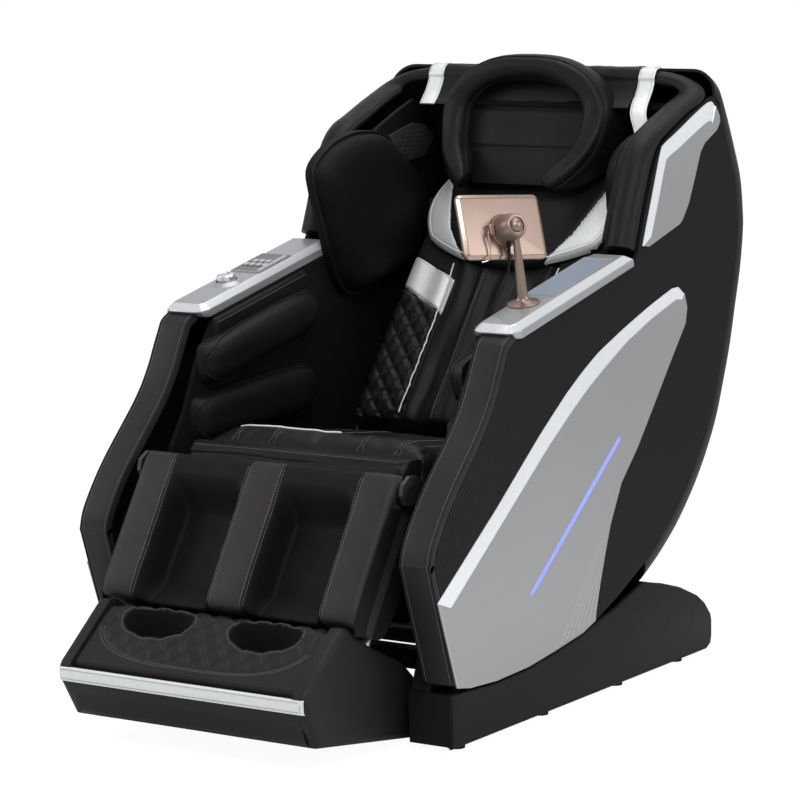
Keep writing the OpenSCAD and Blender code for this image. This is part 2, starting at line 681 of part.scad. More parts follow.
module hood_rim() color("#202022") centred() rim_solid();
module rim_solid() {
    last = len(rim_side) - 1;
    rim_x = half_w - 33;
    crown_line = [[rim_x - 24, 572, 1176], [rim_x - 80, 580, 1188], [rim_x - 190, 584, 1194], [0, 585, 1196]];
    left = concat([for (i = [0:last]) [rim_x, rim_side[i][0], rim_side[i][1]]], crown_line);
    right = [for (i = [len(left) - 2:-1:0]) [-left[i][0], left[i][1], left[i][2]]];
    path = concat(left, right);
    depth = [for (i = [0:len(path) - 1]) rim_half_depth[min(i, len(path) - 1 - i, last)]];
    width = [for (i = [0:len(path) - 1]) let (k = min(i, len(path) - 1 - i)) k > last ? 18 : 31];
    oval_tube(path, width, depth, [0, -0.55, 0.83], rim_sides);
}

// ---------------------------------------------------------------- soft pieces

module seat_cushion() color("#1e1e20") centred() on_seat() seat_solid();
module seat_solid() {
    lines = [0.13, 0.3, 0.7, 0.87];
    function channels(u) = 7*(groove(u, lines[0], 0.022) + groove(u, lines[1], 0.022)
        + groove(u, lines[2], 0.022) + groove(u, lines[3], 0.022));
    soft_solid(22, 12,
        function(u, v) [(u - 0.5)*(seat_w - 26), -seat_l + 13 + v*(seat_l - 19),
            seat_t - 14 + 24*sqrt(max(0, crown(u, 6)*crown(v, 8))) - channels(u)*crown(v, 8)],
        function(u, v) [(u - 0.5)*seat_w*(1 - 0.02*crown(v)), -seat_l + v*(seat_l - 6), soft_gap]);
}

// Padded flap that hangs down the front edge of the seat cushion
module seat_apron() color("#1e1e20") centred() on_seat() soft_solid(20, 8,
    function(u, v) [(u - 0.5)*2*(seat_w/2 - 8 - 6*v),
        -seat_l - mix(34, 40, v) - 16*sin(180*v) - 5*sin(360*5*u)*v, mix(-4, seat_t - 6, v)],
    function(u, v) [(u - 0.5)*2*(seat_w/2 - 8 - 6*v),
        -seat_l - 1.4*soft_gap + 13*min(1, v*(seat_t - 6)/(seat_t - 14)), mix(0, seat_t - 6, v)]);

module back_pad() color("#1e1e20") centred() on_back() back_pad_solid();
module back_pad_solid() {
    seams = [0.12, 0.26, 0.42, 0.58, 0.74, 0.88];
    function channels(u) = 6*(groove(u, seams[1], 0.02) + groove(u, seams[2], 0.015)
        + groove(u, seams[3], 0.015) + groove(u, seams[4], 0.02));
    soft_solid(24, 12,
        function(u, v) [(u - 0.5)*(back_w - 20), (1 - sqrt(max(0, crown(u, 6)*crown(v, 12))))*18
            + channels(u)*crown(v, 12), mix(36, 520, v)],
        function(u, v) [(u - 0.5)*back_w, back_t, mix(30, 528, v)]);
}

// Flap over the neck, with its silver wings, lying on the back pad
flap_w = 462;
module neck_flap() color("#28282a") centred() on_back() soft_solid(20, 8,
    function(u, v) [(u - 0.5)*flap_w*(0.86 + 0.14*crown(v, 2)),
        -24 - 14*crown(u, 4)*crown(v, 3) + 9*pow(2*u - 1, 4),
        mix(400 + 62*pow(2*u - 1, 2), 640, v)],
    function(u, v) [(u - 0.5)*flap_w*(0.86 + 0.14*crown(v, 2)), -2*crown(v, 3) - 0.6,
        mix(400 + 62*pow(2*u - 1, 2), 640, v)]);

// Horseshoe head pillow: two thick wings that meet over the crown of the head
module head_pillow() color("#1c1c1e") centred() pillow_solid();
module pillow_solid() {
    // Points down one wing from the crown: half width, front, rear, height and half thickness
    wing = [
        [0, 500, 568.5, 1206, 27], [66, 499, 568.5, 1201, 28], [124, 495, 569, 1178, 29],
        [160, 488, 584, 1136, 30], [173, 478, 586, 1086, 30], [172, 466, 556, 1036, 30],
        [156, 456, 518, 992, 28], [124, 448, 484, 964, 22]
    ];
    left = [for (w = reversed(wing)) [-w[0], w[1], w[2], w[3], w[4]]];
    stations = concat(left, [for (i = [1:len(wing) - 1]) wing[i]]);
    last = len(stations) - 1;
    sides = 10;
    function heading(i) = let (a = stations[max(i - 1, 0)], b = stations[min(i + 1, last)])
        unit([b[0] - a[0], b[3] - a[3]]);
    function spot(i, k) = let (s = stations[i], n = turned(heading(i)), a = 360*k/sides,
        across = s[4]*sign(cos(a))*pow(abs(cos(a)), 0.6), deep = (s[2] - s[1])/2*sin(a))
        [s[0] - n[0]*across, (s[1] + s[2])/2 + deep, s[3] - n[1]*across];
    points = [for (i = [0:last], k = [0:sides - 1]) spot(i, k)];
    walls = [for (i = [0:last - 1], k = [0:sides - 1])
        let (a = i*sides + k, b = i*sides + (k + 1) % sides) each [
            [a, b, b + sides], [a, b + sides, a + sides]]];
    ends = [[for (k = [sides - 1:-1:0]) k], [for (k = [0:sides - 1]) last*sides + k]];
    polyhedron(points, concat(walls, ends));
    // Cushion that closes the ring behind the head
    soft_solid(12, 8,
        function(u, v) [(u - 0.5)*300, mix(480, 550, v) - 8*crown(u, 3)*crown(v, 3), mix(966, 1186, v)],
        function(u, v) [(u - 0.5)*300, mix(491, 561, v) + 4*crown(u, 3)*crown(v, 3), mix(966, 1186, v)]);
}

// Silver straps that lie over the padded rim, one on each side of the pillow
module head_straps() color("#8f9294") centred() both()
    side_plate(232, 38) polygon([
        [510, 1114], [546, 1149], [563, 1177], [564, 1190], [572, 1202.5], [586, 1207], [600, 1206],
        [601, 1211], [586, 1212], [569, 1207], [559, 1192], [558, 1179], [542, 1153], [506, 1118]]);

// ---------------------------------------------------------------- leg rest

// Drawn at the hinge: z runs down the leg as negative, y into the chair
module calf_frame() color("#2c2c2f") centred() on_leg() difference() {
    union() {
        translate([-(calf_w/2 - 3), 0, 0]) rotate([0, 90, 0]) cylinder(d = hinge_tube_d, h = calf_w - 6);
        translate([-(calf_w/2 + 12), 0, 0]) rotate([0, 90, 0]) cylinder(d = hinge_pin_d, h = calf_w + 24);
        translate([-(calf_w/2 - 6), 40, -258]) cube([calf_w - 12, 8, 250]);
        both() translate([calf_w/2 - 46, 0, -22]) cube([10, 44, 26]);
        for (z = [-150, -235]) both() translate([slide_x - 18, 48, z]) cube([36, 34, 30]);
    }
    both() translate([slide_x, slide_y, -300]) cylinder(d = slide_rod_d + 2*fit, h = 300);
}
slide_x = foot_w/2 - 14;
slide_y = 64;

// Padded calf trough: three ridges with two channels between them
module calf_pad() color("#1c1c1e") centred() on_leg() calf_pad_solid();
module calf_pad_solid() {
    ridge = ridge_w/calf_w;
    rows = 10;
    skin = hinge_tube_d/2 + 1.5;
    // 0 on the three ridges and 1 along the two channels
    function channel(u) = let (m = abs(2*u - 1), a = m < 0.5 ? m/(1 - ridge) : (1 - m)/(1 - ridge))
        min(1, max(0, (a - 0.5*ridge)/0.1));
    function height(v) = mix(-273, -6, v) + 28*v*v;
    // The channels fade out before the hinge tube
    function depth(v) = 62*min(1, max(0, (-30 - height(v))/70))*(0.5 + 0.5*min(1, 5*v));
    soft_solid(28, rows,
        function(u, v) [(u - 0.5)*(calf_w - 8),
            -35 + channel(u)*depth(v) + 14*(1 - crown(v, 10)) + 4*(1 - crown(u, 30)), height(v)],
        function(u, v) [(u - 0.5)*calf_w, v > 0.85 ? -skin : 39.7,
            v > 0.85 ? mix(-24, height(1), (v - 0.9)*rows) : mix(-273, -24, v/0.8)]);
}

// The footrest's own values are drawn with the hinge at -425
foot_shift = leg_y + 425;
module footrest_shell() color("#1f1f22") centred() {
    translate([0, foot_shift, 0]) {
        both() side_plate(foot_w/2 - cheek_t, cheek_t) polygon(foot_side);
        side_plate(-(foot_w/2 - cheek_t), foot_w - 2*cheek_t) polygon([
            [-733, 146], [-730, 118], [-686, 50], [-368, 5], [-329, 18], [-329, 90], [-338, 90],
            [-338, 26], [-370, 16], [-680, 60], [-722, 122], [-724, 146]]);
    }
    on_leg() both() translate([slide_x, slide_y, -400]) cylinder(d = slide_rod_d, h = 380);
}
cheek_t = 28;
// Side outline of the footrest; its top lies under the calf pad
foot_side = [
    [-735, 148], [-730, 118], [-686, 50], [-368, 5], [-329, 18], [-329, 90], [-400, 150],
    [-519, 206], [-590, 250], [-611, 251], [-728, 158]
];

// Padded foot wells with their quilted crescent
module foot_pad() color("#1c1c1e") centred() translate([0, foot_shift, 0]) foot_pad_solid();
module foot_pad_solid() {
    pad_w = foot_w - 2*cheek_t - 2*soft_gap;
    // 1 in the middle of each of the two wells
    function well(u) = pow(sin(360*u)*sin(360*u), 0.6);
    soft_solid(24, 10,
        function(u, v) [(u - 0.5)*pad_w, mix(-716, -480, v),
            mix(150, 196, v) + 36*sin(180*v) - 88*well(u)*sin(180*min(1, v*1.15))],
        function(u, v) [(u - 0.5)*pad_w, mix(-708, -484, v), mix(118, 68, v)]);
}

module sole_roller() color("#3a3a3d") centred() {
    axle = foot_w - 2*cheek_t - 2*fit;
    sole_y = foot_shift - 420;
    cross_rod(-axle/2, axle, sole_y, 70, 12);
    for (i = [-4:4]) cross_rod(i*50 - 14, 28, sole_y, 70, sole_d);
}

base_frame();
base_sides();
base_rear_cover();
base_feet();
power_box();
mains_inlet();
power_switch();
transport_wheels();
seat_frame();
back_frame();
back_rods();
back_shell();
side_panel_left();
side_panel_right();
fenders();
led_strips();
upper_trims();
front_bands();
armrest_left();
armrest_right();
arm_inners();
arm_pads();
shoulder_pads();
speaker_grilles();
hood_rim();
hood_lining();
seat_cushion();
seat_apron();
back_pad();
neck_flap();
head_pillow();
head_straps();
control_display();
charge_tray();
tilt_motor();
track_rollers_front();
track_rollers_rear();
massage_carriage();
massage_heads();
calf_frame();
calf_pad();
footrest_shell();
foot_pad();
sole_roller();
tablet_post();
tablet_case();
tablet_plug();
tablet_cord();
control_knob();
button_1();
button_2();
button_3();
button_4();
button_5();
button_6();
button_7();
air_pump();
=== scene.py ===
"""Reclining massage chair: finishes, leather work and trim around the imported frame."""

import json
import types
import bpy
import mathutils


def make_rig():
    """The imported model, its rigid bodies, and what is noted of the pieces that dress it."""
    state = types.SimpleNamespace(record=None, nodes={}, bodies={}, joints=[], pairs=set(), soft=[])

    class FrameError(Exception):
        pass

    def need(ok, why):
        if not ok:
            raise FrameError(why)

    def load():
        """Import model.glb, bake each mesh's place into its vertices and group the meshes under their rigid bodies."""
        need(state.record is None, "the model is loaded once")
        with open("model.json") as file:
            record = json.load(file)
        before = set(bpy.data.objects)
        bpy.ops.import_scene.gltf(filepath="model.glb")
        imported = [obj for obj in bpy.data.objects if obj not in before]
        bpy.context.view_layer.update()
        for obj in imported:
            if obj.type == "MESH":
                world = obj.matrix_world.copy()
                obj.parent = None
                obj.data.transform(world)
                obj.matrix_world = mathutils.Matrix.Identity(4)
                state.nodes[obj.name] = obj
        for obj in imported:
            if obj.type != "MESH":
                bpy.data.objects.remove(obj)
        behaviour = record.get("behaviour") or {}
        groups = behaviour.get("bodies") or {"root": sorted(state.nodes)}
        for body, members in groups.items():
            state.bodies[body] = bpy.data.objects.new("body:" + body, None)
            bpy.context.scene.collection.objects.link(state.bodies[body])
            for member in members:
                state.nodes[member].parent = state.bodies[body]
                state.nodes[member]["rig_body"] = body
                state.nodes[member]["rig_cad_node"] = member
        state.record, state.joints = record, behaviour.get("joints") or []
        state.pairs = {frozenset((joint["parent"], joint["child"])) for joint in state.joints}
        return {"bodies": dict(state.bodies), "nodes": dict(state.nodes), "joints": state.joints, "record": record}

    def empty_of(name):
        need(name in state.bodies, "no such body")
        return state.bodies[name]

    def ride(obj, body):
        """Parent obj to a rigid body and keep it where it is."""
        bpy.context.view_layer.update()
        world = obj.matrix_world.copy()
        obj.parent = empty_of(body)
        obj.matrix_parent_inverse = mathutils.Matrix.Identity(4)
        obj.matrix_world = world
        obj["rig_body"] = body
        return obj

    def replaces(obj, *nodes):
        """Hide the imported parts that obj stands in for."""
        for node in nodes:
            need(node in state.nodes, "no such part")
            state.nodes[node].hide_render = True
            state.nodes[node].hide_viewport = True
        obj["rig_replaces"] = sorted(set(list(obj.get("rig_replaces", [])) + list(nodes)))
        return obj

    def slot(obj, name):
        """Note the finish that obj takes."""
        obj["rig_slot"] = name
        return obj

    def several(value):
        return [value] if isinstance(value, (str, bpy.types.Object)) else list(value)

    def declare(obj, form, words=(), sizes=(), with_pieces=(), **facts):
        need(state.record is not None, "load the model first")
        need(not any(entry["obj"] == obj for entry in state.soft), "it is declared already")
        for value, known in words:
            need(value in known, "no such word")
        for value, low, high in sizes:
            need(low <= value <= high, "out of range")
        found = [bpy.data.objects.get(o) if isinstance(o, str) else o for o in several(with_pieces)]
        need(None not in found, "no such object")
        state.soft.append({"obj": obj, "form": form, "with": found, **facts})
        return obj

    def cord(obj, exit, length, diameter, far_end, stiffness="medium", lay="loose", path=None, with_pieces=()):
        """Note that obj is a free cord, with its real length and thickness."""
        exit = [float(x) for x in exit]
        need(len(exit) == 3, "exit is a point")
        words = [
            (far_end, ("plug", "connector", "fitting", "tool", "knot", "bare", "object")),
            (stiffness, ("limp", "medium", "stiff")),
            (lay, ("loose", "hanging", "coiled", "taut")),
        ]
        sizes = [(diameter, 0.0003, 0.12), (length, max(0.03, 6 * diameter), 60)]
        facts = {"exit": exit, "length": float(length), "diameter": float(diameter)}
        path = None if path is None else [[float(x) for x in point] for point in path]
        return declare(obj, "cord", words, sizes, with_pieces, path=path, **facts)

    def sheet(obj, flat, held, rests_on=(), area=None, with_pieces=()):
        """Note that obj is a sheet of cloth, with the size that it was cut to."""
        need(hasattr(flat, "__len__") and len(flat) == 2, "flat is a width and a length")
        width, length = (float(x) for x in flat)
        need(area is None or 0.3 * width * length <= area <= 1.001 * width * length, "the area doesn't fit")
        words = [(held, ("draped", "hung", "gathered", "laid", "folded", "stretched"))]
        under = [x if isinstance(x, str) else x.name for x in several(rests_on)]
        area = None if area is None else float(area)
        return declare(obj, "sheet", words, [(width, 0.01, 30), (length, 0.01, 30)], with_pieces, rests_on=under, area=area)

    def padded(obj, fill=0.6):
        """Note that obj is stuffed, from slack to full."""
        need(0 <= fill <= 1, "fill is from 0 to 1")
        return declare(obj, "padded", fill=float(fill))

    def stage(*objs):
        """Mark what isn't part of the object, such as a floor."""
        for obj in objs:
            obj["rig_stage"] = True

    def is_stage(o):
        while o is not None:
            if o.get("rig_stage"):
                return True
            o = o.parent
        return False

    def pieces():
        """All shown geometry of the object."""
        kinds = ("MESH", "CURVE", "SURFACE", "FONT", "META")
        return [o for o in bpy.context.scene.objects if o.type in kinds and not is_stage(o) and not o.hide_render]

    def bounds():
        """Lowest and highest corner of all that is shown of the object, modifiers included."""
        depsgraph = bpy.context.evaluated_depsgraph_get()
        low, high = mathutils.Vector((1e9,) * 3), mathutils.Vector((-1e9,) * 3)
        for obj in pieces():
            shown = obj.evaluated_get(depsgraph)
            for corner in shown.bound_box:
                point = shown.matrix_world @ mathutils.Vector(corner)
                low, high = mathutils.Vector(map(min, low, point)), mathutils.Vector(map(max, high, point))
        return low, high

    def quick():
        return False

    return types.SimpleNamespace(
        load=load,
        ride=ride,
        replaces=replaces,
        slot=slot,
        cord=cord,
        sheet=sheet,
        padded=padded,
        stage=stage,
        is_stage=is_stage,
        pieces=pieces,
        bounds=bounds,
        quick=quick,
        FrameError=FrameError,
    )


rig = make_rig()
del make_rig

bl_info = {
    "name": "Massage Chair Upholstery",
    "version": (1, 0, 0),
    "blender": (4, 5, 0),
    "location": "View3D > Sidebar > Massage Chair",
    "description": "Leather, silver trim and moulded covers for the frame of a reclining massage chair",
    "category": "Object",
}

import sys
import json
from math import cos, exp, pi, radians, sin, sqrt

import bmesh
import bpy
from bpy.props import FloatProperty, FloatVectorProperty, IntProperty, PointerProperty
from mathutils import Matrix, Vector, noise
from mathutils.bvhtree import BVHTree
from mathutils.kdtree import KDTree

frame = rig.load()
CAD_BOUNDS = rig.bounds()

MM = 0.001
REACH = 30 * MM  # how far a seam may lie from the surface that it is laid on
MID_Y = 42  # the outlines below are in millimetres, with Y measured 42 mm behind the footprint's middle


# ------------------------------------------------------------------ settings

class ChairSizes(bpy.types.PropertyGroup):
    """Sizes of the upholstery, in millimetres unless a unit is given"""
    stitch_pitch: FloatProperty(name="Stitch Pitch", description="From one stitch to the next", default=5.2)
    stitch_length: FloatProperty(name="Stitch Length", description="Length that shows", default=3.4)
    thread: FloatProperty(name="Thread", description="Radius of the sewing thread", default=0.55)
    diamond_width: FloatProperty(name="Diamond Width", description="Width of a diamond", default=44.0)
    diamond_height: FloatProperty(name="Diamond Height", description="Height of a diamond", default=52.0)
    swell_frames: IntProperty(name="Swell Frames", description="Cloth steps of a cushion", default=16)


def shade(name, description, *colour):
    return FloatVectorProperty(name=name, description=description, subtype="COLOR", default=colour)


class ChairColours(bpy.types.PropertyGroup):
    """Colours of the finishes"""
    leather: shade("Leather", "Black leather", 0.0062, 0.0062, 0.0068)
    silver_leather: shade("Silver Leather", "Metallic leather of the wings", 0.60, 0.61, 0.61)
    silver_paint: shade("Silver Paint", "Satin paint of the fenders", 0.262, 0.264, 0.266)
    arm_paint: shade("Arm Paint", "Paint of the armrests", 0.30, 0.305, 0.315)
    rose_metal: shade("Rose Metal", "Metal of the tablet and its post", 0.235, 0.172, 0.143)
    light: shade("Light", "Glow of the side strips", 0.14, 0.17, 0.95)


def sizes():
    return bpy.context.scene.chair_sizes


def colours():
    return bpy.context.scene.chair_colours


# ------------------------------------------------------------------ shader maths

class Wire:
    """A shader socket that takes part in plain arithmetic; each step adds a Math node."""

    def __init__(self, finish, socket):
        self.finish, self.socket = finish, socket

    def join(self, operation, *values):
        return self.finish.node("ShaderNodeMath", {"operation": operation},
                                dict(enumerate(values)))

    def __add__(self, other):
        return self.join("ADD", self, other)

    def __radd__(self, other):
        return self.join("ADD", other, self)

    def __sub__(self, other):
        return self.join("SUBTRACT", self, other)

    def __rsub__(self, other):
        return self.join("SUBTRACT", other, self)

    def __mul__(self, other):
        return self.join("MULTIPLY", self, other)

    def __rmul__(self, other):
        return self.join("MULTIPLY", other, self)

    def least(self, other):
        return self.join("MINIMUM", self, other)

    def most(self, other):
        return self.join("MAXIMUM", self, other)

    def sine(self):
        return self.join("SINE", self)

    def clamped(self):
        return self.finish.node("ShaderNodeClamp", {}, {"Value": self})


class Finish:
    """A material, or the world, under construction."""

    def __init__(self, owner, shader="Principled BSDF", output="Material Output"):
        self.owner = owner
        owner.use_nodes = True
        self.tree = owner.node_tree
        self.shader = self.tree.nodes[shader]
        self.output = self.tree.nodes[output]

    def node(self, kind, settings, sockets, out=0):
        """Adds a node, its settings first, then its sockets by name or number."""
        made = self.tree.nodes.new(kind)
        for key, value in settings.items():
            setattr(made, key, value)
        for key, value in sockets.items():
            self.feed(made.inputs[key], value)
        return Wire(self, made.outputs[out])

    def feed(self, socket, value):
        if isinstance(value, Wire):
            self.tree.links.new(value.socket, socket)
        elif socket.type == "RGBA" and len(value) == 3:
            socket.default_value = (*value, 1)
        else:
            socket.default_value = value

    def set(self, **values):
        for key, value in values.items():
            self.feed(self.shader.inputs[key.replace("_", " ")], value)
        return self

    def place(self):
        """Where a point is, in metres, on the chair at rest."""
        return self.node("ShaderNodeTexCoord", {}, {}, out=3)

    def axes(self, vector):
        parts = self.node("ShaderNodeSeparateXYZ", {}, {0: vector})
        outputs = parts.socket.node.outputs
        return [Wire(self, outputs[axis]) for axis in range(3)]

    def stretched(self, vector, scale, turn=(0, 0, 0)):
        return self.node("ShaderNodeMapping", {"vector_type": "POINT"},
                         {"Vector": vector, "Scale": scale, "Rotation": turn})

    def noise(self, vector, scale, detail=3.0, roughness=0.5):
        return self.node("ShaderNodeTexNoise", {"noise_dimensions": "3D"},
                         {"Vector": vector, "Scale": scale, "Detail": detail, "Roughness": roughness})

    def cells(self, vector, scale, feature="F1", out=0):
        return self.node("ShaderNodeTexVoronoi", {"feature": feature},
                         {"Vector": vector, "Scale": scale}, out=out)

    def blend(self, factor, first, second):
        made = self.tree.nodes.new("ShaderNodeMix")
        made.data_type = "RGBA"
        self.feed(made.inputs[0], factor)
        self.feed(made.inputs[6], first)
        self.feed(made.inputs[7], second)
        return Wire(self, made.outputs[2])

    def bump(self, height, strength, distance):
        sockets = {"Strength": strength, "Distance": distance, "Height": height}
        self.feed(self.shader.inputs["Normal"], self.node("ShaderNodeBump", {}, sockets))
        return self

    def ray(self, kind):
        """1 for light rays of that kind, such as "Is Camera Ray", and 0 for others."""
        return Wire(self, self.tree.nodes.new("ShaderNodeLightPath").outputs[kind])

    def mixed_with(self, second, share):
        """Ends in a mix of the shader and a second one."""
        first = Wire(self, self.shader.outputs[0])
        both = self.node("ShaderNodeMixShader", {}, {0: share, 1: first, 2: second})
        self.feed(self.output.inputs[0], both)


FINISHES = {}


def finish(name):
    """The material of that name, made the first time it is asked for."""
    if name not in FINISHES:
        FINISHES[name] = FINISH_MAKERS[name](Finish(bpy.data.materials.new(name))).owner
    return FINISHES[name]


def tint(colour, factor):
    return tuple(min(1.0, channel * factor) for channel in colour)


def leather_grain(made, colour, grain, rough, depth):
    """Pebbled leather: small cells, finer pores and broad creases; grain is cells per metre."""
    where = made.place()
    warped = made.node("ShaderNodeVectorMath", {"operation": "ADD"}, {
        0: where, 1: made.node("ShaderNodeVectorMath", {"operation": "SCALE"}, {
            0: made.node("ShaderNodeTexNoise", {}, {"Vector": where, "Scale": grain * 0.4}, out=1),
            "Scale": 0.0012})})
    pebbles = made.cells(warped, grain, feature="DISTANCE_TO_EDGE")
    pores = made.noise(where, grain * 3.2, detail=2.0)
    creases = made.noise(made.stretched(where, (1.0, 1.0, 1.6)), 26.0, detail=5.0, roughness=0.62)
    wear = made.noise(where, 7.0, detail=3.0)
    height = (pebbles * 3.0).least(1.0) * 0.6 + pores * 0.35 + creases * 0.7
    made.set(Base_Color=made.blend(wear, tint(colour, 0.8), tint(colour, 1.35)),
             Roughness=rough + (creases - 0.5) * 0.16 + (wear - 0.5) * 0.10,
             Specular_IOR_Level=0.12)
    return made.bump(height, 0.30, depth)


def make_black_leather(made):
    return leather_grain(made, colours().leather, 620.0, 0.40, 0.0006)


def make_matte_leather(made):
    return leather_grain(made, tint(colours().leather, 0.45), 760.0, 0.62, 0.0005)


def make_ridge_leather(made):
    return leather_grain(made, (0.021, 0.0190, 0.0203), 560.0, 0.44, 0.0006)


def make_silver_leather(made):
    base = colours().silver_leather
    where = made.place()
    pebbles = made.cells(where, 900.0, feature="DISTANCE_TO_EDGE")
    folds = made.noise(where, 30.0, detail=4.0)
    shade = made.noise(where, 320.0, detail=2.0)
    made.set(Base_Color=made.blend(shade, tint(base, 0.82), tint(base, 1.18)), Metallic=0.35,
             Roughness=0.36 + folds * 0.18)
    return made.bump(pebbles * 1.4 + folds * 0.8, 0.35, 0.0006)


def ribbed(made, colour, across, pitch, rough, depth, specular=0.15):
    """Fine moulded ribs; across is the wire, in metres, that counts them."""
    wave = (across * (2 * pi / pitch)).sine()
    where = made.place()
    speckle = made.noise(where, 900.0, detail=2.0)
    patch = made.noise(where, 5.0, detail=2.0)
    made.set(Base_Color=made.blend(patch, tint(colour, 0.85), tint(colour, 1.2)),
             Roughness=rough + speckle * 0.08 + patch * 0.05, Specular_IOR_Level=specular)
    return made.bump(wave * 0.5 + speckle * 0.12, 0.6, depth)


def make_ribbed_mesh(made):
    x, y, z = made.axes(made.place())
    return ribbed(made, (0.006, 0.006, 0.0066), x * 0.5 + z * 0.86 + y * 0.3, 0.0042, 0.55, 0.0012)


def make_ribbed_panel(made):
    """Satin side panel; its ribs follow the slope of the front edge and thin out behind it."""
    _, y, z = made.axes(made.place())
    along_edge = y * 0.60 - z * 0.46
    wave = (along_edge * (2 * pi / 0.0046)).sine()
    fade = ((-0.03 - (y * 0.80 + z * 0.30)) * 3.2 + 0.45).clamped()
    where = made.place()
    grain = made.cells(where, 1100.0)
    patch = made.noise(where, 3.0, detail=2.0)
    made.set(Base_Color=made.blend(patch, (0.0042, 0.0042, 0.0046), (0.0066, 0.0066, 0.007)),
             Roughness=0.50 + patch * 0.10 + grain * 0.06, Specular_IOR_Level=0.09)
    return made.bump(wave * fade * 0.9 + grain * 0.18, 0.55, 0.0007)


def moulded(made, colour, rough, depth=0.0002, specular=0.09):
    """Spark-eroded plastic: fine pits with slow changes of gloss."""
    where = made.place()
    pits = made.noise(where, 1500.0, detail=2.0)
    patch = made.noise(where, 4.0, detail=3.0)
    scuffs = made.noise(made.stretched(where, (1, 6, 1)), 40.0, detail=4.0)
    made.set(Base_Color=made.blend(patch, tint(colour, 0.85), tint(colour, 1.2)),
             Roughness=rough + (pits - 0.5) * 0.12 + (scuffs - 0.5) * 0.10, Specular_IOR_Level=specular)
    return made.bump(pits, 0.35, depth)


def make_base_plastic(made):
    return moulded(made, (0.0055, 0.0055, 0.006), 0.48)


def make_black_plastic(made):
    return moulded(made, (0.005, 0.005, 0.0055), 0.42)


def make_shell_plastic(made):
    return moulded(made, (0.0055, 0.0055, 0.006), 0.44)


def make_foot_rubber(made):
    return moulded(made, (0.010, 0.010, 0.010), 0.80, 0.0004, 0.25)


def make_cord_rubber(made):
    return moulded(made, (0.008, 0.008, 0.008), 0.55, 0.0001)


def painted(made, colour, rough, metallic, coat):
    """Metallic paint: flakes, a slow drift of tone and a clear coat."""
    where = made.place()
    flakes = made.cells(where, 2600.0, out=1)
    sparkle = made.node("ShaderNodeSeparateColor", {}, {0: flakes})
    drift = made.noise(where, 2.2, detail=2.0)
    peel = made.noise(where, 260.0, detail=2.0)
    made.set(Base_Color=made.blend(sparkle * 0.55 + drift * 0.45, tint(colour, 0.86), tint(colour, 1.14)),
             Roughness=rough + (sparkle - 0.5) * 0.08, Metallic=metallic, Coat_Weight=coat,
             Coat_Roughness=0.12)
    return made.bump(peel, 0.12, 0.0002)


def make_silver_paint(made):
    return painted(made, colours().silver_paint, 0.36, 0.35, 0.25)


# Painted highlight: the fender paint made much lighter, for the sloping bevels where the light catches
def make_bright_bevel(made):
    return painted(made, (0.70, 0.71, 0.72), 0.26, 0.30, 0.5)


# Painted highlight: the fender paint made lighter, for the rounded lip round the rest of a fender's outline
def make_soft_bevel(made):
    return painted(made, tint(colours().silver_paint, 1.45), 0.32, 0.35, 0.3)


def make_arm_silver(made):
    return painted(made, colours().arm_paint, 0.32, 0.45, 0.3)


def make_tray_inlay(made):
    return painted(made, (0.26, 0.30, 0.37), 0.30, 0.15, 0.6)


def make_rose_metal(made):
    where = made.place()
    brush = made.noise(made.stretched(where, (1, 1, 22)), 240.0, detail=3.0)
    drift = made.noise(where, 14.0, detail=2.0)
    base = colours().rose_metal
    made.set(Base_Color=made.blend(drift, tint(base, 0.9), tint(base, 1.12)), Metallic=0.85,
             Roughness=0.30 + brush * 0.08 + drift * 0.05)
    return made.bump(brush, 0.08, 0.0001)


def machined(made, colour, rough, direction):
    where = made.place()
    lines = made.noise(made.stretched(where, direction), 300.0, detail=4.0)
    stain = made.noise(where, 22.0, detail=4.0)
    made.set(Base_Color=made.blend(stain, tint(colour, 0.8), tint(colour, 1.1)), Metallic=1.0,
             Roughness=rough + lines * 0.18)
    return made.bump(lines, 0.2, 0.0001)


def make_bright_steel(made):
    return machined(made, (0.58, 0.58, 0.60), 0.22, (1, 8, 8))


def make_frame_steel(made):
    where = made.place()
    peel = made.noise(where, 420.0, detail=3.0)
    dust = made.noise(where, 9.0, detail=5.0)
    made.set(Base_Color=made.blend(dust, (0.008, 0.008, 0.009), (0.014, 0.014, 0.015)),
             Roughness=0.42 + dust * 0.16)
    return made.bump(peel, 0.25, 0.0003)


def make_wheel_rubber(made):
    return moulded(made, (0.02, 0.02, 0.022), 0.62, 0.0004, 0.3)


def make_kneading_plastic(made):
    return moulded(made, (0.42, 0.37, 0.30), 0.34, 0.0001, 0.5)


def make_button_grey(made):
    return painted(made, (0.40, 0.41, 0.42), 0.34, 0.3, 0.2)


def make_display_glass(made):
    where = made.place()
    haze = made.noise(where, 18.0, detail=3.0)
    made.set(Base_Color=made.blend(haze, (0.008, 0.008, 0.010), (0.014, 0.014, 0.017)),
             Roughness=0.10 + haze * 0.08, Coat_Weight=0.6, Coat_Roughness=0.05)
    return made


def make_led(made):
    where = made.place()
    flow = made.noise(where, 60.0, detail=1.0)
    glow = made.blend(flow, tint(colours().light, 0.9), (0.20, 0.24, 1.0))
    made.set(Base_Color=(0.10, 0.12, 0.5), Roughness=0.3 + flow * 0.1, Emission_Color=glow)
    made.shader.inputs["Emission Strength"].default_value = 1.25
    return made


def make_white_piping(made):
    where = made.place()
    weave = made.noise(where, 900.0, detail=2.0)
    made.set(Base_Color=made.blend(weave, (0.50, 0.51, 0.52), (0.74, 0.75, 0.76)),
             Roughness=0.38 + weave * 0.2)
    return made.bump(weave, 0.3, 0.0003)


def make_black_piping(made):
    return leather_grain(made, tint(colours().leather, 1.2), 900.0, 0.36, 0.0003)


def spun(made, dark, pale):
    """Sewing thread with its twist."""
    twist = made.noise(made.place(), 1400.0, detail=1.0)
    return made.set(Base_Color=made.blend(twist, dark, pale), Roughness=0.55 + twist * 0.1)


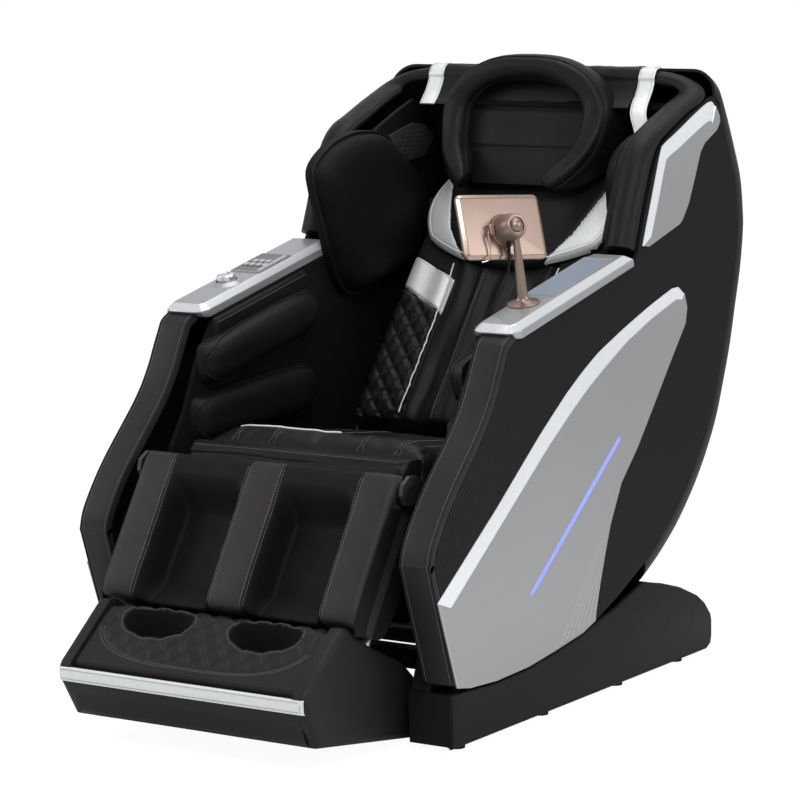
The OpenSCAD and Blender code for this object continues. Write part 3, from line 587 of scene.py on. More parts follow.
def make_grey_thread(made):
    return spun(made, (0.085, 0.085, 0.09), (0.16, 0.16, 0.17))


def make_dark_thread(made):
    return spun(made, (0.010, 0.010, 0.011), (0.024, 0.024, 0.026))


def make_draped_leather(made):
    """Thin leather of the back's middle."""
    return leather_grain(made, tint(colours().leather, 1.2), 640.0, 0.36, 0.0006)


def make_lining_leather(made):
    return leather_grain(made, tint(colours().leather, 0.9), 700.0, 0.5, 0.0005)


def make_band_leather(made):
    return leather_grain(made, (0.017, 0.0155, 0.0165), 680.0, 0.42, 0.0005)


def make_casing_leather(made):
    return leather_grain(made, (0.0125, 0.0115, 0.012), 640.0, 0.46, 0.0005)


def make_well_cloth(made):
    where = made.place()
    weave = made.noise(where, 1100.0, detail=2.0)
    nap = made.noise(where, 60.0, detail=3.0)
    made.set(Base_Color=made.blend(nap, (0.002, 0.002, 0.002), (0.004, 0.004, 0.004)),
             Roughness=0.85 + weave * 0.1, Specular_IOR_Level=0.1)
    return made.bump(weave, 0.4, 0.0005)


def make_speaker_plastic(made):
    return moulded(made, (0.030, 0.030, 0.032), 0.30, 0.0001, 0.5)


# Painted highlight: the arm paint made much lighter, for the chamfers where the light catches
def make_arm_bevel(made):
    return painted(made, tint(colours().arm_paint, 1.8), 0.26, 0.35, 0.4)


def make_knob_metal(made):
    return painted(made, (0.60, 0.61, 0.63), 0.24, 0.7, 0.2)


# Painted highlight: the fender paint made lighter, for the raised ribs
def make_rib_paint(made):
    return painted(made, tint(colours().silver_paint, 1.25), 0.30, 0.4, 0.3)


# Painted highlight: the rose metal made lighter and glossier, for the rounded back edge of the tablet case
def make_rose_bright(made):
    return painted(made, tint(colours().rose_metal, 1.5), 0.20, 0.8, 0.3)


FINISH_MAKERS = {key[5:]: maker for key, maker in list(globals().items()) if key.startswith("make_")}


# ------------------------------------------------------------------ places and paths

def at(x, y, z):
    return Vector((x, y - MID_Y, z)) * MM


def hinged(x, y, z, tilt):
    """A frame at that point that leans by tilt degrees about x."""
    return Matrix.Translation((x, y, z)) @ Matrix.Rotation(radians(tilt), 4, "X")


ON_CHAIR = Matrix.Identity(4)
ON_SEAT = hinged(0, 180, 378, -6.2)
ON_BACK = hinged(0, 171, 479, -38.4)
ON_LEG = hinged(0, -425, 475, -31.9)
ON_LEFT_ARM = hinged(350, -226, 731, 12.7)
ON_RIGHT_ARM = hinged(-350, -226, 731, 12.7)
POST_FOOT = hinged(340, -226, 731, 12.7) @ Matrix.Translation((0, 140, 0))
POST_TOP = POST_FOOT @ hinged(0, 0, 180, -12.7)
ON_TABLET = (POST_TOP @ Matrix.Rotation(radians(67), 4, "Z") @ Matrix.Rotation(radians(71), 4, "X")
             @ Matrix.Rotation(radians(-2), 4, "Z"))


def on(spot, x, y, z):
    """A point of a leaning frame, in metres on the chair."""
    return at(*(spot @ Vector((x, y, z))))


def arm_height(y):
    """Height of the armrests' underside at that y."""
    return 731 + (y + 226) * 0.2254


def wobble(x, y, z):
    """Smooth noise, about -1 to 1."""
    return noise.noise(Vector((x, y, z)))


def mix(first, second, share):
    return first + (second - first) * share


def crown(share, power=4):
    """1 in the middle of a strip and 0 on its two edges, with round shoulders."""
    return max(0.0, 1 - abs(2 * share - 1) ** power)


def dent(value, middle, width):
    return exp(-((value - middle) / width) ** 2)


def ease(value):
    value = min(1.0, max(0.0, value))
    return value * value * (3 - 2 * value)


def smooth_line(points, steps, closed=False):
    """A smooth curve through the points, with steps spans between two of them."""
    points = [Vector(p) for p in points]
    last = len(points)
    line = []
    for i in range(last if closed else last - 1):
        near = [(i + k) % last if closed else min(max(i + k, 0), last - 1) for k in (-1, 0, 1, 2)]
        a, b, c, d = (points[k] for k in near)
        for k in range(steps):
            t = k / steps
            line.append(0.5 * (2 * b + (c - a) * t + (2 * a - 5 * b + 4 * c - d) * t * t
                               + (3 * b - a - 3 * c + d) * t ** 3))
    if not closed:
        line.append(points[-1])
    return line


def heading_at(line, i):
    """Unit direction of a line at its point i."""
    return (line[min(i + 1, len(line) - 1)] - line[max(i - 1, 0)]).normalized()


def flipped(path):
    """The same path on the other side of the chair."""
    return [Vector((-p.x, p.y, p.z)) for p in path]


def even_line(points, spacing, closed=False):
    """The same path with points at an even spacing."""
    points = list(points) + ([points[0]] if closed else [])
    spots, left = [points[0].copy()], spacing
    for a, b in zip(points, points[1:]):
        length = (b - a).length
        while length > 1e-12 and left <= length:
            spots.append(a.lerp(b, left / length))
            left += spacing
        left -= length
    return spots


def inset_ring(ring, depth):
    """A closed outline of (y, z) points moved inwards; the ring runs anticlockwise."""
    moved = []
    for i, point in enumerate(ring):
        before = (point - ring[i - 1]).normalized()
        after = (ring[(i + 1) % len(ring)] - point).normalized()
        corner = Vector((-before.y - after.y, before.x + after.x))
        size = corner.length
        if size > 1e-6:
            point = point + corner / size * min(depth * 2 / size, depth * 1.8)
        moved.append(point)
    return moved


def anticlockwise(points):
    ring = [Vector(p) for p in points]
    area = sum(a.x * b.y - b.x * a.y for a, b in zip(ring, ring[1:] + ring[:1]))
    return ring if area > 0 else ring[::-1]


# ------------------------------------------------------------------ meshes

def new_piece(name, points, faces, finishes, marks=None, sharp=40):
    """An object made from points in metres, its faces turned outwards."""
    mesh = bpy.data.meshes.new(name)
    mesh.from_pydata([tuple(p) for p in points], [], faces)
    for key in finishes:
        mesh.materials.append(finish(key))
    if marks:
        mesh.polygons.foreach_set("material_index", marks)
    work = bmesh.new()
    work.from_mesh(mesh)
    bmesh.ops.remove_doubles(work, verts=work.verts, dist=2e-6)
    bmesh.ops.recalc_face_normals(work, faces=work.faces)
    work.to_mesh(mesh)
    work.free()
    mesh.shade_smooth()
    mesh.set_sharp_from_angle(angle=radians(sharp))
    piece = bpy.data.objects.new(name, mesh)
    bpy.context.scene.collection.objects.link(piece)
    return piece


def seat_in(piece, body, slot, *nodes):
    """Hands a finished piece to its body and names what it stands for."""
    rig.ride(piece, body)
    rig.slot(piece, slot)
    if nodes:
        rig.replaces(piece, *nodes)
    return piece


class Stock:
    """Points and faces gathered from several parts of one piece."""

    def __init__(self):
        self.points, self.faces, self.marks = [], [], []

    def add(self, points, faces, mark=0, marks=None):
        base = len(self.points)
        self.points += points
        self.faces += [[base + i for i in face] for face in faces]
        self.marks += marks if marks else [mark] * len(faces)
        return self

    def mirrored(self):
        """Adds the same parts on the other side of the chair."""
        base = len(self.points)
        self.points += [Vector((-p[0], p[1], p[2])) for p in self.points]
        self.faces += [[base + i for i in reversed(face)] for face in self.faces]
        self.marks += self.marks
        return self

    def piece(self, name, finishes, sharp=40):
        return new_piece(name, self.points, self.faces, finishes, self.marks, sharp)


def grid_faces(rows, columns, start=0, around=False):
    """Quads over a grid of points; around closes it along its columns."""
    faces = []
    for i in range(rows - 1):
        for j in range(columns if around else columns - 1):
            k = (j + 1) % columns
            faces.append([start + i * columns + j, start + i * columns + k,
                          start + (i + 1) * columns + k, start + (i + 1) * columns + j])
    return faces


def capped_faces(rows, columns):
    """Quads round a solid of stacked rings, with a face on each end."""
    ends = [list(range(columns)), list(range((rows - 1) * columns, rows * columns))]
    return grid_faces(rows, columns, around=True) + ends


def closed_form(spot, nu, nv, front, back):
    """A closed solid between two surfaces given as functions of u and v, each 0 to 1."""
    points = [on(spot, *front(i / nu, j / nv)) for i in range(nu + 1) for j in range(nv + 1)]
    row, count = nv + 1, len(points)
    edge = [(i, 0) for i in range(nu)] + [(nu, j) for j in range(nv)]
    edge += [(i, nv) for i in range(nu, 0, -1)] + [(0, j) for j in range(nv, 0, -1)]
    size, coarse = len(edge), 5
    for step in range(coarse):
        share = step / coarse
        points += [on(spot, *back(mix(i / nu, 0.5, share), mix(j / nv, 0.5, share))) for i, j in edge]
    faces = grid_faces(nu + 1, row)
    for k, (i, j) in enumerate(edge):
        n = (k + 1) % size
        faces.append([i * row + j, edge[n][0] * row + edge[n][1], count + n, count + k])
    faces += grid_faces(coarse, size, start=count, around=True)
    faces.append([count + (coarse - 1) * size + k for k in range(size)])
    return points, faces


def tube(path, radius, sides=8, closed=False, oval=1.0, flat=None):
    """A round or oval cord along a path in metres; radius in millimetres, a number or a list."""
    count = len(path)
    radii = [r * MM for r in radius] if hasattr(radius, "__len__") else [radius * MM] * count
    points, normal = [], None
    for i, spot in enumerate(path):
        after = path[(i + 1) % count] if closed else path[min(i + 1, count - 1)]
        before = path[i - 1] if closed or i else path[0]
        heading = (after - before).normalized()
        if flat is not None:
            normal = flat
        elif normal is None:
            normal = Vector((0, 0, 1)) if abs(heading.z) < 0.9 else Vector((1, 0, 0))
        normal = (normal - heading * normal.dot(heading)).normalized()
        side = heading.cross(normal)
        for k in range(sides):
            a = 2 * pi * k / sides
            points.append(spot + side * (cos(a) * radii[i]) + normal * (sin(a) * radii[i] * oval))
    if not closed:
        return points, capped_faces(count, sides)
    last = (count - 1) * sides
    joint = [[last + k, last + (k + 1) % sides, (k + 1) % sides, k] for k in range(sides)]
    return points, grid_faces(count, sides, around=True) + joint


def plate(ring, x_in, x_out, rounding, steps=3):
    """A flat cover drawn in (y, z) between two values of x, with a rounded outer edge."""
    ring = anticlockwise(ring)
    rings = [(x_in, ring)]
    for k in range(steps + 1):
        a = pi / 2 * k / steps
        rings.append((x_out - rounding * (1 - sin(a)), inset_ring(ring, rounding * (1 - cos(a)))))
    return [at(x, p.x, p.y) for x, line in rings for p in line], capped_faces(len(rings), len(ring))


def skin_of(*pieces):
    """The surfaces of some pieces, for laying stitches and piping on."""
    points, faces = [], []
    for piece in pieces:
        base = len(points)
        points += [piece.matrix_world @ v.co for v in piece.data.vertices]
        faces += [[base + i for i in p.vertices] for p in piece.data.polygons]
    return BVHTree.FromPolygons(points, faces)


def laid(path, skin, lift=0.0):
    """A path moved onto a surface, lift millimetres above it."""
    spots = []
    for spot in path:
        place, normal, _, _ = skin.find_nearest(spot, REACH)
        spots.append(spot if place is None else place + normal * (lift * MM))
    return spots


def stitches(name, paths, skin, body="capsule", slot="black_leather", thread="grey_thread", pitch=None):
    """Rows of visible stitches along paths in metres, laid on a skin."""
    pitch = (pitch or sizes().stitch_pitch) * MM
    length, radius = sizes().stitch_length * MM, sizes().thread * MM
    stock = Stock()
    for path in paths:
        spots = even_line(path, pitch)
        for a, b in zip(spots, spots[1:]):
            end = a + (b - a).normalized() * length
            line = []
            for share, height in ((0.0, -0.35), (0.18, 0.5), (0.5, 0.75), (0.82, 0.5), (1.0, -0.35)):
                spot = a.lerp(end, share)
                place, normal, _, _ = skin.find_nearest(spot, REACH)
                if place is None:
                    break
                line.append(place + normal * (height * radius))
            if len(line) == 5:
                stock.add(*tube(line, [r * radius / MM for r in (0.7, 1, 1, 1, 0.7)], sides=5))
    piece = stock.piece(name, [thread], sharp=80)
    return seat_in(piece, body, slot)


def piping(name, paths, skin, radius, lift, cord="black_piping", body="capsule", slot="black_leather",
           closed=False):
    """Piping cord in a seam, laid on a skin."""
    stock = Stock()
    for path in paths:
        line = laid(even_line(path, 4 * MM, closed), skin, lift)
        last = len(line) - 1
        line = [(line[max(i - 1, 0)] + line[i] * 2 + line[min(i + 1, last)]) / 4 for i in range(last + 1)]
        stock.add(*tube(line, radius, sides=8, closed=closed))
    piece = stock.piece(name, [cord], sharp=80)
    return seat_in(piece, body, slot)


def shown_mesh(piece):
    """Applies a piece's modifiers."""
    bpy.context.view_layer.update()
    graph = bpy.context.evaluated_depsgraph_get()
    made = bpy.data.meshes.new_from_object(piece.evaluated_get(graph))
    piece.modifiers.clear()
    piece.data = made
    return piece


def fill_out(piece, voxel, cap, pressure):
    """Remeshes a closed cushion and lets cloth pressure swell it, by at most cap millimetres."""
    remesh = piece.modifiers.new("remesh", "REMESH")
    remesh.mode = "VOXEL"
    remesh.voxel_size = voxel * MM
    soften = piece.modifiers.new("soften", "SMOOTH")
    soften.iterations = 3
    shown_mesh(piece)
    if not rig.quick():
        start = [v.co.copy() for v in piece.data.vertices]
        cloth = piece.modifiers.new("fill", "CLOTH")
        cloth.settings.quality = 4
        cloth.settings.mass = 0.25
        cloth.settings.use_pressure = True
        cloth.settings.uniform_pressure_force = pressure
        cloth.settings.effector_weights.gravity = 0
        cloth.collision_settings.use_collision = False
        cloth.collision_settings.use_self_collision = False
        last = sizes().swell_frames
        cloth.point_cache.frame_start = 1
        cloth.point_cache.frame_end = last
        for frame_number in range(1, last + 1):
            bpy.context.scene.frame_set(frame_number)
        shown_mesh(piece)
        bpy.context.scene.frame_set(1)
        for vertex, rest in zip(piece.data.vertices, start):
            move = vertex.co - rest
            if move.length > cap * MM:
                vertex.co = rest + move.normalized() * (cap * MM)
    piece.data.shade_smooth()
    return piece


def raised(piece, height, keep):
    """Moves the vertices that keep accepts along their normals by height, in metres."""
    normals = [v.normal.copy() for v in piece.data.vertices]
    for vertex, normal in zip(piece.data.vertices, normals):
        if keep is None or keep(vertex.co):
            vertex.co += normal * height(vertex.co)
    piece.data.update()
    return piece


def sewn(piece, seams, depth, width, pucker=0.0, keep=None):
    """Pulls a cushion in along its seams, with small gathers beside them."""
    spots = [spot for seam in seams for spot in even_line(seam, 3 * MM)]
    tree = KDTree(len(spots))
    for index, spot in enumerate(spots):
        tree.insert(spot, index)
    tree.balance()

    def height(spot):
        _, index, distance = tree.find(spot)
        if distance >= 6 * width * MM:
            return 0
        pull = depth * exp(-(distance / (width * MM)) ** 2)
        fold = pucker * noise.noise(spots[index] * 95 + Vector((0, 0, index % 2)))
        return (fold * exp(-(distance / (3.2 * width * MM)) ** 2) - pull) * MM

    return raised(piece, height, keep)


def creased(piece, depth, scale, stretch=(1, 1, 1), keep=None):
    """Soft broad creases in leather, in millimetres of depth; scale is creases per metre."""
    def height(p):
        q = Vector((p.x * stretch[0], p.y * stretch[1], p.z * stretch[2])) * scale
        return depth * MM * (noise.noise(q) + 0.5 * noise.noise(q * 2.1))

    return raised(piece, height, keep)


def painted_by(piece, finishes, choose):
    """Gives each face the finish that choose names for its middle, in metres."""
    piece.data.materials.clear()
    for key in finishes:
        piece.data.materials.append(finish(key))
    for face in piece.data.polygons:
        face.material_index = choose(face.center)
    return piece


def local(spot, point):
    """A point of the chair, in metres, read in a leaning frame, in millimetres."""
    return spot.inverted() @ Vector((point.x / MM, point.y / MM + MID_Y, point.z / MM))


def dressed(node, key):
    """Gives a frame part its finish."""
    for material_slot in frame["nodes"][node].material_slots:
        material_slot.material = finish(key)


# ------------------------------------------------------------------ outlines shared by the pieces

SPINE = [(330, 183), (415, 214), (515, 269), (612, 352), (688, 450), (733, 540), (762, 616), (786, 702),
         (808, 782), (820, 866), (818, 918), (797, 1000), (752, 1080), (702, 1148), (658, 1190), (612, 1208)]
TURN = [58, 75, 90, 100, 105, 110, 110, 110, 110, 110, 110, 105, 98, 85, 70, 58]
FRONT_EDGE = [(-202, 752), (-242, 733), (-260, 705), (-294, 639), (-338, 580), (-439, 477), (-494, 405),
              (-511, 362), (-504, 332), (-427, 127)]
FENDER = [(-420, 123), (-487, 289), (-279, 431), (-117, 549), (-18, 614), (44, 649), (108, 680), (209, 716),
          (318, 751), (412, 777), (438, 780), (464, 764), (478, 735), (471, 701), (407, 630), (335, 548),
          (269, 474), (203, 413), (159, 336), (139, 283), (120, 229), (104, 174), (101, 156), (52, 141),
          (-62, 125), (-158, 114), (-277, 110), (-374, 115)]
FENDER_BEVEL = [(-445, 275), (-246, 415), (-90, 524), (6, 584), (64, 617), (122, 646), (218, 690), (322, 726),
                (410, 750), (436, 757), (452, 752)]
TRIM = [(285, 872), (322, 965), (357, 1052), (374, 1068), (424, 1088), (560, 1142), (594, 1134), (612, 1114),
        (614, 1102), (600, 1086), (546, 1062), (527, 1044), (503, 994), (478, 945), (452, 914), (439, 905),
        (307, 869)]
TRIM_BEVEL = [(316, 889), (344, 956), (371, 1024), (384, 1040), (428, 1056), (552, 1103), (580, 1100)]
LIGHT_ENDS = [(-157, 249), (193, 505)]
RIM = [(357, 252, 866, 31, 26), (357, 288, 960, 31, 26), (357, 322, 1035, 31, 24), (357, 356, 1074, 31, 18),
       (357, 408, 1098, 31, 14), (357, 485, 1130, 31, 13), (357, 552, 1154, 31, 13), (333, 572, 1176, 18, 13),
       (277, 580, 1188, 18, 13), (167, 584, 1194, 18, 13), (0, 585, 1196, 18, 13)]
PILLOW_WING = [(0, 496, 568.5, 1209, 28, 0), (66, 495, 568.5, 1204, 29, 0), (124, 491, 569, 1180, 30, 0),
               (161, 482, 592, 1137, 31, 2), (168, 464, 613, 1086, 30, 8), (158, 438, 603, 1036, 29, 14),
               (130, 410, 528, 992, 27, 20), (104, 393, 486, 965, 21, 16)]
SHOULDER = [(133, 1010), (190, 1052), (264, 1074), (330, 1078), (390, 1070), (458, 1032), (530, 975),
            (572, 916), (545, 850), (498, 796), (400, 764), (289, 740), (235, 762), (195, 830), (160, 915),
            (140, 960)]
SHOULDER_MIDDLE = Vector((355, 915))
# Each pad's side of the chair, share of its full length and distance off the wall
PAD_SIDES = ((-1, 1.0, 0), (1, 0.44, 6))
# Across a strap: x, and height over its middle surface
STRAP_SECTION = ((232.5, -0.9), (233, 0.8), (236, 1.5), (251, 1.9), (266, 1.5), (269, 0.8), (269.5, -0.9),
                 (251, -1.2))
CORD = [(330, -133, 888), (330, -133, 876), (330.5, -133, 864), (329, -133.5, 851), (325, -134.5, 837),
        (319, -136, 822), (311, -138, 807), (302, -140, 791), (293, -141, 774), (284.5, -142, 755),
        (276, -142, 735), (267.5, -142, 715), (259.5, -141.5, 697), (253, -141, 680), (250.2, -140, 662),
        (249.8, -139, 646), (251.5, -138, 633), (256, -137, 623), (264, -136, 616.5), (274, -135.5, 613.5),
        (288, -135, 613)]
BASE_SIDE = [(-436, 112), (-430, 10), (595, 10), (613, 19), (617, 35), (616, 69), (611, 83), (583, 111),
             (550, 131), (472, 161), (392, 182), (313, 197), (300, 196), (199, 168), (101, 149), (52, 136),
             (-62, 120), (-158, 109), (-277, 105), (-374, 110)]
BASE_NOSE = [(-432, 110), (-427, 13), (-240, 13), (-240, 102)]
BASE_HUMP = [(-425, 108), (-330, 106), (-330, 172), (-402, 168)]
FOOT_SIDE = [(-735, 148), (-730, 118), (-686, 50), (-368, 5), (-329, 18), (-329, 90), (-400, 150),
             (-519, 206), (-590, 250), (-611, 251), (-728, 158)]
FOOT_FRONT = [(-733, 146), (-731, 132), (-729, 117), (-712, 90), (-686, 50), (-600, 38), (-500, 24),
              (-400, 10), (-368, 6.5), (-340, 12), (-329, 18), (-329, 90)]
FOOT_TOP = [(-733, 152), (-611, 249), (-590, 248), (-519, 204), (-400, 148)]
WELL_Y = -630
WELL_X = 118
RIDGES = (-246, 0, 246)
RIDGE_HALF = 37


# ------------------------------------------------------------------ pieces

class MASSAGE_CHAIR_OT_studio(bpy.types.Operator):
    """Camera, soft lamps and the pale floor"""
    bl_idname = "massage_chair.studio"
    bl_label = "Studio"

    def execute(self, context):
        lens = bpy.data.cameras.new("front_left_view")
        lens.lens, lens.sensor_width, lens.clip_end = 142.65, 36.0, 60.0
        camera = bpy.data.objects.new("front_left_view", lens)
        camera.location = (3.2693, -5.2646, 1.4040)
        camera.rotation_euler = (radians(82.31), 0.0, radians(31.98))
        context.scene.collection.objects.link(camera)
        context.scene.camera = camera
        self.lamp("key", (1.9, -2.6, 3.4), (0, 0, 0.6), 1.6, 78)
        self.lamp("left_fill", (-3.4, -2.2, 2.2), (0, 0, 0.6), 2.0, 52)
        self.lamp("right_strip", (3.4, 0.4, 2.0), (0.3, 0.1, 0.7), 1.4, 40)
        self.lamp("top", (0.0, 0.5, 4.0), (0, 0, 0.5), 2.4, 60)
        self.world(context)
        self.floor(context)
        context.scene.view_settings.view_transform = "Standard"
        return {"FINISHED"}

    def world(self, context):
        """Grey light for the chair; the camera and a quarter of the glossy rays see white."""
        made = Finish(bpy.data.worlds.new("white_room"), "Background", "World Output")
        context.scene.world = made.owner
        made.set(Color=(0.55, 0.56, 0.58))
        white = made.node("ShaderNodeBackground", {}, {"Color": (1, 1, 1)})
        seen = made.ray("Is Camera Ray").most(made.ray("Is Transmission Ray"))
        made.mixed_with(white, seen.most(made.ray("Is Glossy Ray") * 0.25))

    def lamp(self, name, place, aim, size, power):
        light = bpy.data.lights.new(name, "AREA")
        light.shape, light.size, light.energy = "SQUARE", size, power
        lamp = bpy.data.objects.new(name, light)
        lamp.location = place
        lamp.rotation_euler = (Vector(aim) - Vector(place)).to_track_quat("-Z", "Y").to_euler()
        bpy.context.scene.collection.objects.link(lamp)

    def floor(self, context):
        """A pale floor that the camera sees lit up to the white of the room."""
        made = Finish(bpy.data.materials.new("pale_floor"))
        speckle = made.noise(made.place(), 6.0, detail=2.0)
        made.set(Base_Color=made.blend(speckle, (0.84, 0.84, 0.84), (0.88, 0.88, 0.88)),
                 Roughness=0.6 + speckle * 0.1, Specular_IOR_Level=0.1)
        glow = made.node("ShaderNodeEmission", {}, {"Strength": 1.16})
        made.mixed_with(glow, made.ray("Is Camera Ray") * 0.82)
        reach, drop = 14, -0.0005
        mesh = bpy.data.meshes.new("floor")
        corners = [(-reach, -reach, drop), (reach, -reach, drop), (reach, reach, drop), (-reach, reach, drop)]
        mesh.from_pydata(corners, [], [(0, 1, 2, 3)])
        mesh.materials.append(made.owner)
        floor = bpy.data.objects.new("floor", mesh)
        context.scene.collection.objects.link(floor)
        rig.stage(floor)


class MASSAGE_CHAIR_OT_tablet_lead(bpy.types.Operator):
    """The tablet's lead, from its plug to the socket on the arm"""
    bl_idname = "massage_chair.tablet_lead"
    bl_label = "Tablet Lead"

    def execute(self, context):
        line = [at(*p) for p in smooth_line(CORD, 4)]
        length = sum((b - a).length for a, b in zip(line, line[1:]))
        points, faces = tube(line, 2.0, sides=12)
        lead = new_piece("tablet_lead", points, faces, ["cord_rubber"], sharp=60)
        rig.slot(lead, "cord_rubber")
        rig.ride(lead, "capsule")
        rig.replaces(lead, "tablet_cord")
        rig.cord(lead, exit=line[0], length=length, diameter=0.004, far_end="object", stiffness="medium",
                lay="hanging", path=[tuple(p) for p in line], with_pieces=[frame["nodes"]["tablet_plug"]])
        dressed("tablet_plug", "black_plastic")
        return {"FINISHED"}


def seat_top(u, v):
    x, y = (u - 0.5) * 494, mix(-492, -6, v)
    z = 74 + 21 * sqrt(crown(u, 6) * crown(v, 8)) + 15 * dent(v, 0.09, 0.08) * crown(u, 10)
    return x, y, z


class MASSAGE_CHAIR_OT_seat_cushion(bpy.types.Operator):
    """Seat cushion with its sewn channels and white piping"""
    bl_idname = "massage_chair.seat_cushion"
    bl_label = "Seat Cushion"

    def execute(self, context):
        points, faces = closed_form(ON_SEAT, 44, 44, seat_top, lambda u, v: (
            (u - 0.5) * 516 * (1 - 0.02 * crown(v)), mix(-503, -8, v), 2.0))
        cushion = new_piece("seat_cushion_leather", points, faces, ["black_leather"])
        fill_out(cushion, 7, 7, pressure=5.0)
        seams = [[on(ON_SEAT, x, y, 93) for y in range(-492, -20, 12)] for x in (-183, -99, 99, 183)]
        front = [on(ON_SEAT, x, -456, 92) for x in range(-236, 238, 12)]
        sewn(cushion, seams + [front], 5.0, 5.0, pucker=1.4, keep=lambda p: local(ON_SEAT, p).z > 55)
        creased(cushion, 2.0, 11.0, (1.6, 0.7, 1), keep=lambda p: local(ON_SEAT, p).z > 30)
        seat_in(cushion, "capsule", "black_leather", "seat_cushion")
        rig.padded(cushion, fill=0.7)
        skin = skin_of(cushion)
        rows = [[p + Vector((side * 4.5 * MM, 0, 0)) for p in seam] for seam in seams for side in (-1, 1)]
        stitches("seat_stitches", [laid(row, skin) for row in rows], skin)
        wave = [on(ON_SEAT, x, -437 + 8 * sin(x * 0.022), 122) for x in range(-210, 36, 6)]
        piping("seat_white_piping", [wave], skin, 1.9, 1.4, "white_piping", slot="silver_leather")
        return {"FINISHED"}


class MASSAGE_CHAIR_OT_seat_apron(bpy.types.Operator):
    """Rolled leather apron at the front of the seat"""
    bl_idname = "massage_chair.seat_apron"
    bl_label = "Seat Apron"

    def execute(self, context):
        def front(u, v):
            x = (u - 0.5) * 2 * (250 - 6 * v)
            rolls = dent(v, 0.30, 0.035) + dent(v, 0.52, 0.035) * 0.9 + dent(v, 0.12, 0.03) * 0.7
            folds = wobble(x * 0.006, v * 9.0, 1.7) * 4.0
            y = -505 - mix(33, 38, v) - 14 * sin(pi * min(1, v)) + rolls * 9 + folds * crown(v, 6)
            return x, y + 20 * (1 - sqrt(crown(v, 10))) + 10 * (1 - crown(u, 40)), mix(-2, 83, v)

        points, faces = closed_form(ON_SEAT, 120, 60, front, lambda u, v: (
            (u - 0.5) * 2 * (250 - 6 * v), -505.6 + 13 * min(1, v * 82 / 74), mix(0, 82, v)))
        apron = new_piece("seat_apron_leather", points, faces, ["black_leather"], sharp=70)
        seat_in(apron, "capsule", "black_leather", "seat_apron")
        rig.padded(apron, fill=0.6)
        skin = skin_of(apron)
        seam = [on(ON_SEAT, x, -545, 76) for x in range(-236, 238, 6)]
        stitches("apron_stitches", [laid(seam, skin)], skin)
        return {"FINISHED"}


QUILT_EDGE = 115


def band_low(x):
    return 292 + (abs(x) - QUILT_EDGE) * 0.536


def band_high(x):
    return 376 + (abs(x) - QUILT_EDGE) * 0.482


def quilt(p, q, depth):
    """Puffed diamonds: 0 in the seams, depth in the middle of a diamond."""
    a = p / sizes().diamond_width + q / sizes().diamond_height
    b = p / sizes().diamond_width - q / sizes().diamond_height
    da, db = abs(a - round(a)), abs(b - round(b))
    return depth * (1 - exp(-(da / 0.15) ** 2)) * (1 - exp(-(db / 0.15) ** 2))


def quilt_seams(x0, x1, z0, z1, inside):
    """The stitched lines of the diamonds, as runs of (x, z) points that inside accepts."""
    width, height = sizes().diamond_width, sizes().diamond_height
    runs = []
    for sign in (1, -1):
        lines = sorted((x / width + sign * z / height) for x in (x0, x1) for z in (z0, z1))
        for k in range(int(lines[0]) - 1, int(lines[-1]) + 2):
            run = []
            z = z0
            while z <= z1:
                x = (k - sign * z / height) * width
                if x0 <= x <= x1 and inside(x, z):
                    run.append((x, z))
                elif run:
                    runs.append(run)
                    run = []
                z += 4.0
            if run:
                runs.append(run)
    return [run for run in runs if len(run) > 2]


def back_front(u, v):
    """The leather face of the back pad: x, y and z in the leaning frame."""
    x, z = (u - 0.5) * 462, mix(36, 520, v)
    y = (1 - sqrt(crown(u, 6) * crown(v, 12))) * 18
    side = abs(x)
    if side > QUILT_EDGE:
        low, high = band_low(x), band_high(x)
        if z < low:
            y -= quilt(side, z, 7.0) * min(1, (side - QUILT_EDGE) / 10) * min(1, (low - z) / 10)
            y += 3.0 * wobble(x * 0.012, z * 0.05, 2) * ease((150 - z) / 110) * 2.5
        elif z < high:
            y -= 2.0 + 4.5 * sin((side - QUILT_EDGE) * 0.075 + 0.6) * ease((side - QUILT_EDGE) / 30)
        else:
            y -= 0.5
        y += 6 * dent(z, low, 2.6) + 4 * dent(z, high, 2.6)
    else:
        wave = wobble(x * 0.020, z * 0.0038, 5.1)
        slow = wobble(x * 0.045, z * 0.009, 9.3)
        y -= (13 * wave + 6 * slow) * ease((QUILT_EDGE - side) / 26)
        y += 5 * (dent(x, -40, 4) + dent(x, 38, 4))
    y += 8 * dent(side, QUILT_EDGE, 5)
    return x, y, z


